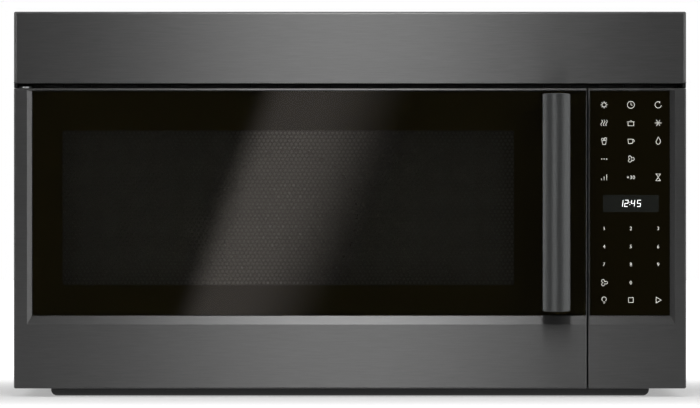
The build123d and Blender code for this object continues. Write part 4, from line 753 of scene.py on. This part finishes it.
# %% [markdown]
# ## Strokes for marks
# The key marks are printed on the control glass in light grey. Each is drawn with a pen of one
# width: a path of points, moved half the width to each side along the mitre of its two
# neighbours. Arcs and lines are enough for every mark. Where the real keys have words, the
# marks here are plain pictures, and the numbers stay numbers. These are set a little wide and a
# little bold, or they would run together in a picture of this size.


# %% Strokes for marks
def stroke(path, width, closed=False):
    """A flat ribbon along a path: both sides lie half the width away, mitred at the bends."""
    path = np.asarray(path, float)
    step = np.roll(path, -1, 0) - path if closed else np.diff(path, axis=0)
    after = step if closed else np.vstack([step, step[-1:]])
    before = np.roll(step, 1, 0) if closed else np.vstack([step[:1], step])
    after = after / np.linalg.norm(after, axis=1, keepdims=True)
    before = before / np.linalg.norm(before, axis=1, keepdims=True)
    mitre = after + before
    mitre = mitre / np.maximum(np.linalg.norm(mitre, axis=1, keepdims=True), 1e-9)
    reach = width / 2 / np.clip((mitre * after).sum(1, keepdims=True), 0.5, 1)
    side = np.stack([-mitre[:, 1], mitre[:, 0]], 1) * reach
    flat = np.stack([path + side, path - side], 1).reshape(-1, 2)
    i = np.arange(len(path) if closed else len(path) - 1)
    j = (i + 1) % len(path)
    return flat, np.stack([2 * i + 1, 2 * j + 1, 2 * j, 2 * i], 1)


def arc(x, z, radius, start, end, steps=20):
    """Points on a circle round (x, z) from one angle to another, in degrees."""
    angle = np.radians(np.linspace(start, end, steps))
    return np.stack([x + radius * np.cos(angle), z + radius * np.sin(angle)], 1)


def numeral(text, height):
    """A number as flat faces, centred on the origin and scaled to its height."""
    curve = bpy.data.curves.new("numeral", "FONT")
    curve.body = text
    curve.resolution_u = 3
    curve.space_character = 1.12
    curve.offset = 0.004
    holder = bpy.data.objects.new("numeral", curve)
    bpy.context.scene.collection.objects.link(holder)
    bpy.context.view_layer.update()
    mesh = bpy.data.meshes.new_from_object(holder.evaluated_get(
        bpy.context.evaluated_depsgraph_get()))
    flat = np.zeros(len(mesh.vertices) * 3)
    mesh.vertices.foreach_get("co", flat)
    flat = flat.reshape(-1, 3)[:, :2]
    faces = [tuple(face.vertices) for face in mesh.polygons]
    low, high = flat.min(0), flat.max(0)
    flat = (flat - (low + high) / 2) * height / (high[1] - low[1])
    bpy.data.objects.remove(holder)
    bpy.data.meshes.remove(mesh)
    bpy.data.curves.remove(curve)
    return flat, faces


print("a ring of", len(stroke(arc(0, 0, 1, 0, 342), 0.1, True)[1]), "faces")

# %% [markdown]
# ## Pictures for the keys
# Each picture is a short list of strokes in a square from -1 to 1. They are the plain signs
# that cookers and timers share: a gear for settings, a clock, a turning arrow for the
# turntable, rising heat, a pot, a snowflake, a tub of popcorn, a cup, a flame, three dots for
# more, a fan, growing bars for the power, an hourglass, a lamp, a square to stop and a triangle
# to start.

# %% Pictures for the keys
full = arc(0, 0, 0.95, 0, 342)
ray = [np.radians(turn) for turn in range(0, 360, 45)]
flake = [np.radians(turn) for turn in range(0, 360, 60)]
wave_x = np.linspace(-0.8, 0.8, 12)


def spoke(angle, near, far):
    """A straight line outwards from near to far at an angle."""
    return [(near * math.cos(angle), near * math.sin(angle)),
            (far * math.cos(angle), far * math.sin(angle))]


pictures = {
    "gear": [(arc(0, 0, 0.55, 0, 342), True)] + [(spoke(a, 0.6, 0.95), False) for a in ray],
    "clock": [(full, True), ([(0, 0.6), (0, 0), (0.42, -0.2)], False)],
    "turntable": [(arc(0, 0, 0.85, 60, 350), False),
                  ([(0.42, 0.95), (0.45, 0.66), (0.2, 0.5)], False)],
    "heat": [(np.stack([x + 0.22 * np.sin(wave_x * 3.9), wave_x], 1), False)
             for x in (-0.65, 0.0, 0.65)],
    "pot": [([(-0.75, 0.25), (-0.75, -0.75), (0.75, -0.75), (0.75, 0.25)], False),
            ([(-1, 0.3), (1, 0.3)], False), ([(-0.2, 0.62), (0.2, 0.62)], False)],
    "snowflake": [(spoke(a, 0.0, 0.95), False) for a in flake],
    "popcorn": [([(-0.55, 0.1), (-0.4, -0.95), (0.4, -0.95), (0.55, 0.1)], True),
                (arc(-0.4, 0.42, 0.3, 0, 342, 12), True),
                (arc(0.35, 0.5, 0.34, 0, 342, 12), True)],
    "cup": [([(-0.8, 0.45), (-0.65, -0.7), (0.4, -0.7), (0.55, 0.45)], True),
            (arc(0.55, 0.0, 0.35, -80, 80, 10), False)],
    "flame": [(np.array([(0, 1), (0.5, 0.35), (0.62, -0.25), (0.35, -0.8), (0, -0.95),
                         (-0.35, -0.8), (-0.62, -0.25), (-0.35, 0.2)]), True)],
    "more": [(arc(x, 0, 0.09, 0, 324, 9), True) for x in (-0.65, 0.0, 0.65)],
    "fan": [(arc(0.52 * math.cos(a), 0.52 * math.sin(a), 0.4, math.degrees(a) - 150,
                 math.degrees(a) + 150, 12), False) for a in flake[::2]],
    "power": [([(x, -0.8), (x, top)], False)
              for x, top in ((-0.7, -0.3), (0.0, 0.25), (0.7, 0.8))],
    "hourglass": [([(-0.6, 0.9), (0.6, 0.9), (-0.6, -0.9), (0.6, -0.9)], True)],
    "lamp": [(arc(0, 0.25, 0.6, -50, 230, 16), False), ([(-0.3, -0.5), (0.3, -0.5)], False),
             ([(-0.2, -0.85), (0.2, -0.85)], False)],
    "stop": [([(-0.65, -0.65), (0.65, -0.65), (0.65, 0.65), (-0.65, 0.65)], True)],
    "start": [([(-0.55, -0.8), (0.8, 0.0), (-0.55, 0.8)], True)],
}
print(len(pictures), "pictures")

# %% [markdown]
# ## The key marks
# Three columns and ten rows of marks, in the places that the photo gives. All of them together
# are one printed layer, 0.04 mm thick, lying on the glass.

# %% The key marks
front_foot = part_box("control_frame")[0].z
columns = [287.5 * MM, 317.8 * MM, 348.7 * MM]
top_rows = [front_foot + up * MM for up in (320.9, 300.4, 280.1, 259.6, 238.9)]
low_rows = [front_foot + up * MM for up in (181.1, 160.6, 140.4, 119.7, 100.0)]
labels = [("gear", "clock", "turntable"), ("heat", "pot", "snowflake"),
          ("popcorn", "cup", "flame"), ("more", "fan", None), ("power", "+30", "hourglass"),
          ("1", "2", "3"), ("4", "5", "6"), ("7", "8", "9"), ("fan", "0", None),
          ("lamp", "stop", "start")]
picture_size = 4.2 * MM
pen = 0.62 * MM
number_height = 4.0 * MM
layer_points, layer_faces = [], []
start = 0
for z, row in zip(top_rows + low_rows, labels):
    for x, label in zip(columns, row):
        if label is None:
            continue
        if label in pictures:
            shapes = [stroke(np.asarray(line, float) * picture_size, pen, closed)
                      for line, closed in pictures[label]]
        else:
            shapes = [numeral(label, number_height)]
        for flat, faces in shapes:
            layer_points.append(flat + (x, z))
            layer_faces += [[v + start for v in face] for face in faces]
            start += len(flat)
flat = np.vstack(layer_points)
mark_y = glass_front - 0.05 * MM
points = np.stack([flat[:, 0], np.full(len(flat), mark_y), flat[:, 1]], 1)
mark_ink = grained("light_grey_screen_ink", "#b9b8b2", "#c6c5bf", 1.0, 0.5, 0.0)
piece("key_marks", points, layer_faces, "cabinet", mark_ink,
      thickness=0.04 * MM)

# %% [markdown]
# ## The display
# Behind the black glass a small window shows the clock. Lit, the window looks a little greyer
# than the glass, and the numbers are white, built from straight bars that lean slightly. Here
# the window is a thin smoked film on the glass, and the numbers glow on it, so both show.

# %% The display
display_x = (286.2 * MM, 349.2 * MM)
display_z = (front_foot + 199.5 * MM, front_foot + 218.9 * MM)
smoke = grained("smoked_display_film", "#131412", "#161715", 1.5, 0.08, 0.0)
outline = rounded_walk(display_x, display_z, 1.2 * MM)
film_y = np.full(len(outline), glass_front - 0.03 * MM)
points = np.stack([outline[:, 0], film_y, outline[:, 1]], 1)
piece("display_film", points, [range(len(outline))], "cabinet", smoke,
      thickness=0.02 * MM)

bars = {
    "1": [[(0.5, 0), (0.5, 2)]],
    "2": [[(0, 2), (1, 2), (1, 1), (0, 1), (0, 0), (1, 0)]],
    "4": [[(0, 2), (0, 1), (1, 1)], [(1, 2), (1, 0)]],
    "5": [[(1, 2), (0, 2), (0, 1), (1, 1), (1, 0), (0, 0)]],
    ":": [[(0.32, 0.6), (0.62, 0.6)], [(0.32, 1.4), (0.62, 1.4)]],
}
cell = np.array([3.5 * MM, 3.6 * MM])
clock_left, clock_foot = 305.6 * MM, front_foot + 205.8 * MM
lean = math.tan(math.radians(6))
digit_pen = 0.6 * MM
digit_places = [at * MM for at in (0.9, 5.0, 9.1, 12.4, 19.2)]
points, faces, start = [], [], 0
for sign, at in zip("12:45", digit_places):
    for line in bars[sign]:
        path = np.array(line, float) * cell + (clock_left + at, clock_foot)
        path[:, 0] += (path[:, 1] - clock_foot) * lean
        flat, quads = stroke(path, digit_pen)
        points.append(flat)
        faces += [[v + start for v in quad] for quad in quads]
        start += len(flat)
flat = np.vstack(points)
points = np.stack([flat[:, 0], np.full(len(flat), glass_front - 0.06 * MM), flat[:, 1]], 1)

# %% The lit numbers
lit, tree = new_tree("lit_white_segments")
coords = add(tree, "TexCoord")
even = add(tree, "TexNoise", values={"Scale": 900.0}, links={"Vector": coords.outputs["Object"]})
white = add(tree, "MixRGB", values={1: linear("#f4f6f6"), 2: linear("#ffffff")},
            links={0: even.outputs["Fac"]})
glow = add(tree, "BsdfPrincipled",
           values={"Base Color": linear("#e8e8e8"), "Roughness": 0.4, "Emission Strength": 0.75},
           links={"Emission Color": white.outputs[0]})
add(tree, "OutputMaterial", links={"Surface": glow.outputs[0]})
piece("clock_digits", points, faces, "cabinet", lit, thickness=0.02 * MM)

# %% [markdown]
# ## The grease filters' mesh
# A grease filter is a pad of expanded aluminium: a sheet slit in rows and pulled open into
# diamonds. From below it is a net of slanted strands over darkness. The height of the net at a
# point is how near it is to one of two families of slanted lines, and the pad is one grid of
# such heights. The grid has no openings, so the darkness between the strands is painted shade:
# the colour turns dark grey where the grid rises away from a strand.


# %% The grease filters' mesh
def expanded(xs, ys, z, step, diamond, rise):
    """A grid whose height falls away from two crossing families of slanted lines."""
    x, y = np.meshgrid(np.arange(xs[0], xs[1], step), np.arange(ys[0], ys[1], step), indexing="ij")
    first = np.abs(((x / diamond[0] + y / diamond[1]) % 1) - 0.5) * 2
    second = np.abs(((x / diamond[0] - y / diamond[1]) % 1) - 0.5) * 2
    strand = np.maximum(first, second) ** 3
    height = z + rise * (1 - strand)
    points = np.stack([x, y, height], -1).reshape(-1, 3)
    long, wide = x.shape
    i, j = np.meshgrid(np.arange(long - 1), np.arange(wide - 1), indexing="ij")
    at = (i * wide + j).ravel()
    return points, np.stack([at, at + 1, at + wide + 1, at + wide], 1), strand.ravel()


net, tree = new_tree("expanded_aluminium_net")
shade_between_strands = add(tree, "Attribute", {"attribute_name": "strand"})
coords = add(tree, "TexCoord")
wear = add(tree, "TexNoise", values={"Scale": 400.0}, links={"Vector": coords.outputs["Object"]})
metal = add(tree, "MixRGB", values={1: linear("#a0a1a3"), 2: linear("#c6c7c9")},
            links={0: wear.outputs["Fac"]})
# Painted shade: dark grey between the strands, metal on them.
tint = add(tree, "MixRGB", values={1: linear("#26272a")},
           links={0: shade_between_strands.outputs["Fac"], 2: metal.outputs[0]})
surface = add(tree, "BsdfPrincipled", values={"Metallic": 0.9, "Roughness": 0.36},
              links={"Base Color": tint.outputs[0]})
add(tree, "OutputMaterial", links={"Surface": surface.outputs[0]})

# %% The two filters
rim, pad_depth = 7 * MM, 180 * MM
net_step, diamond, net_rise, net_sink = 1.0 * MM, (9 * MM, 5 * MM), 0.8 * MM, 0.35 * MM
for side in ("left", "right"):
    low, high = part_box("grease_filter_" + side)
    back = low.y + pad_depth
    points, faces, strand = expanded((low.x + rim, high.x - rim), (low.y + rim, back - rim),
                                     low.z + net_sink, net_step, diamond, net_rise)
    made = piece("filter_net_" + side, points, faces, "filter_" + side, net)
    mark = made.data.attributes.new("strand", "FLOAT", "POINT")
    mark.data.foreach_set("value", strand.astype(np.float32))
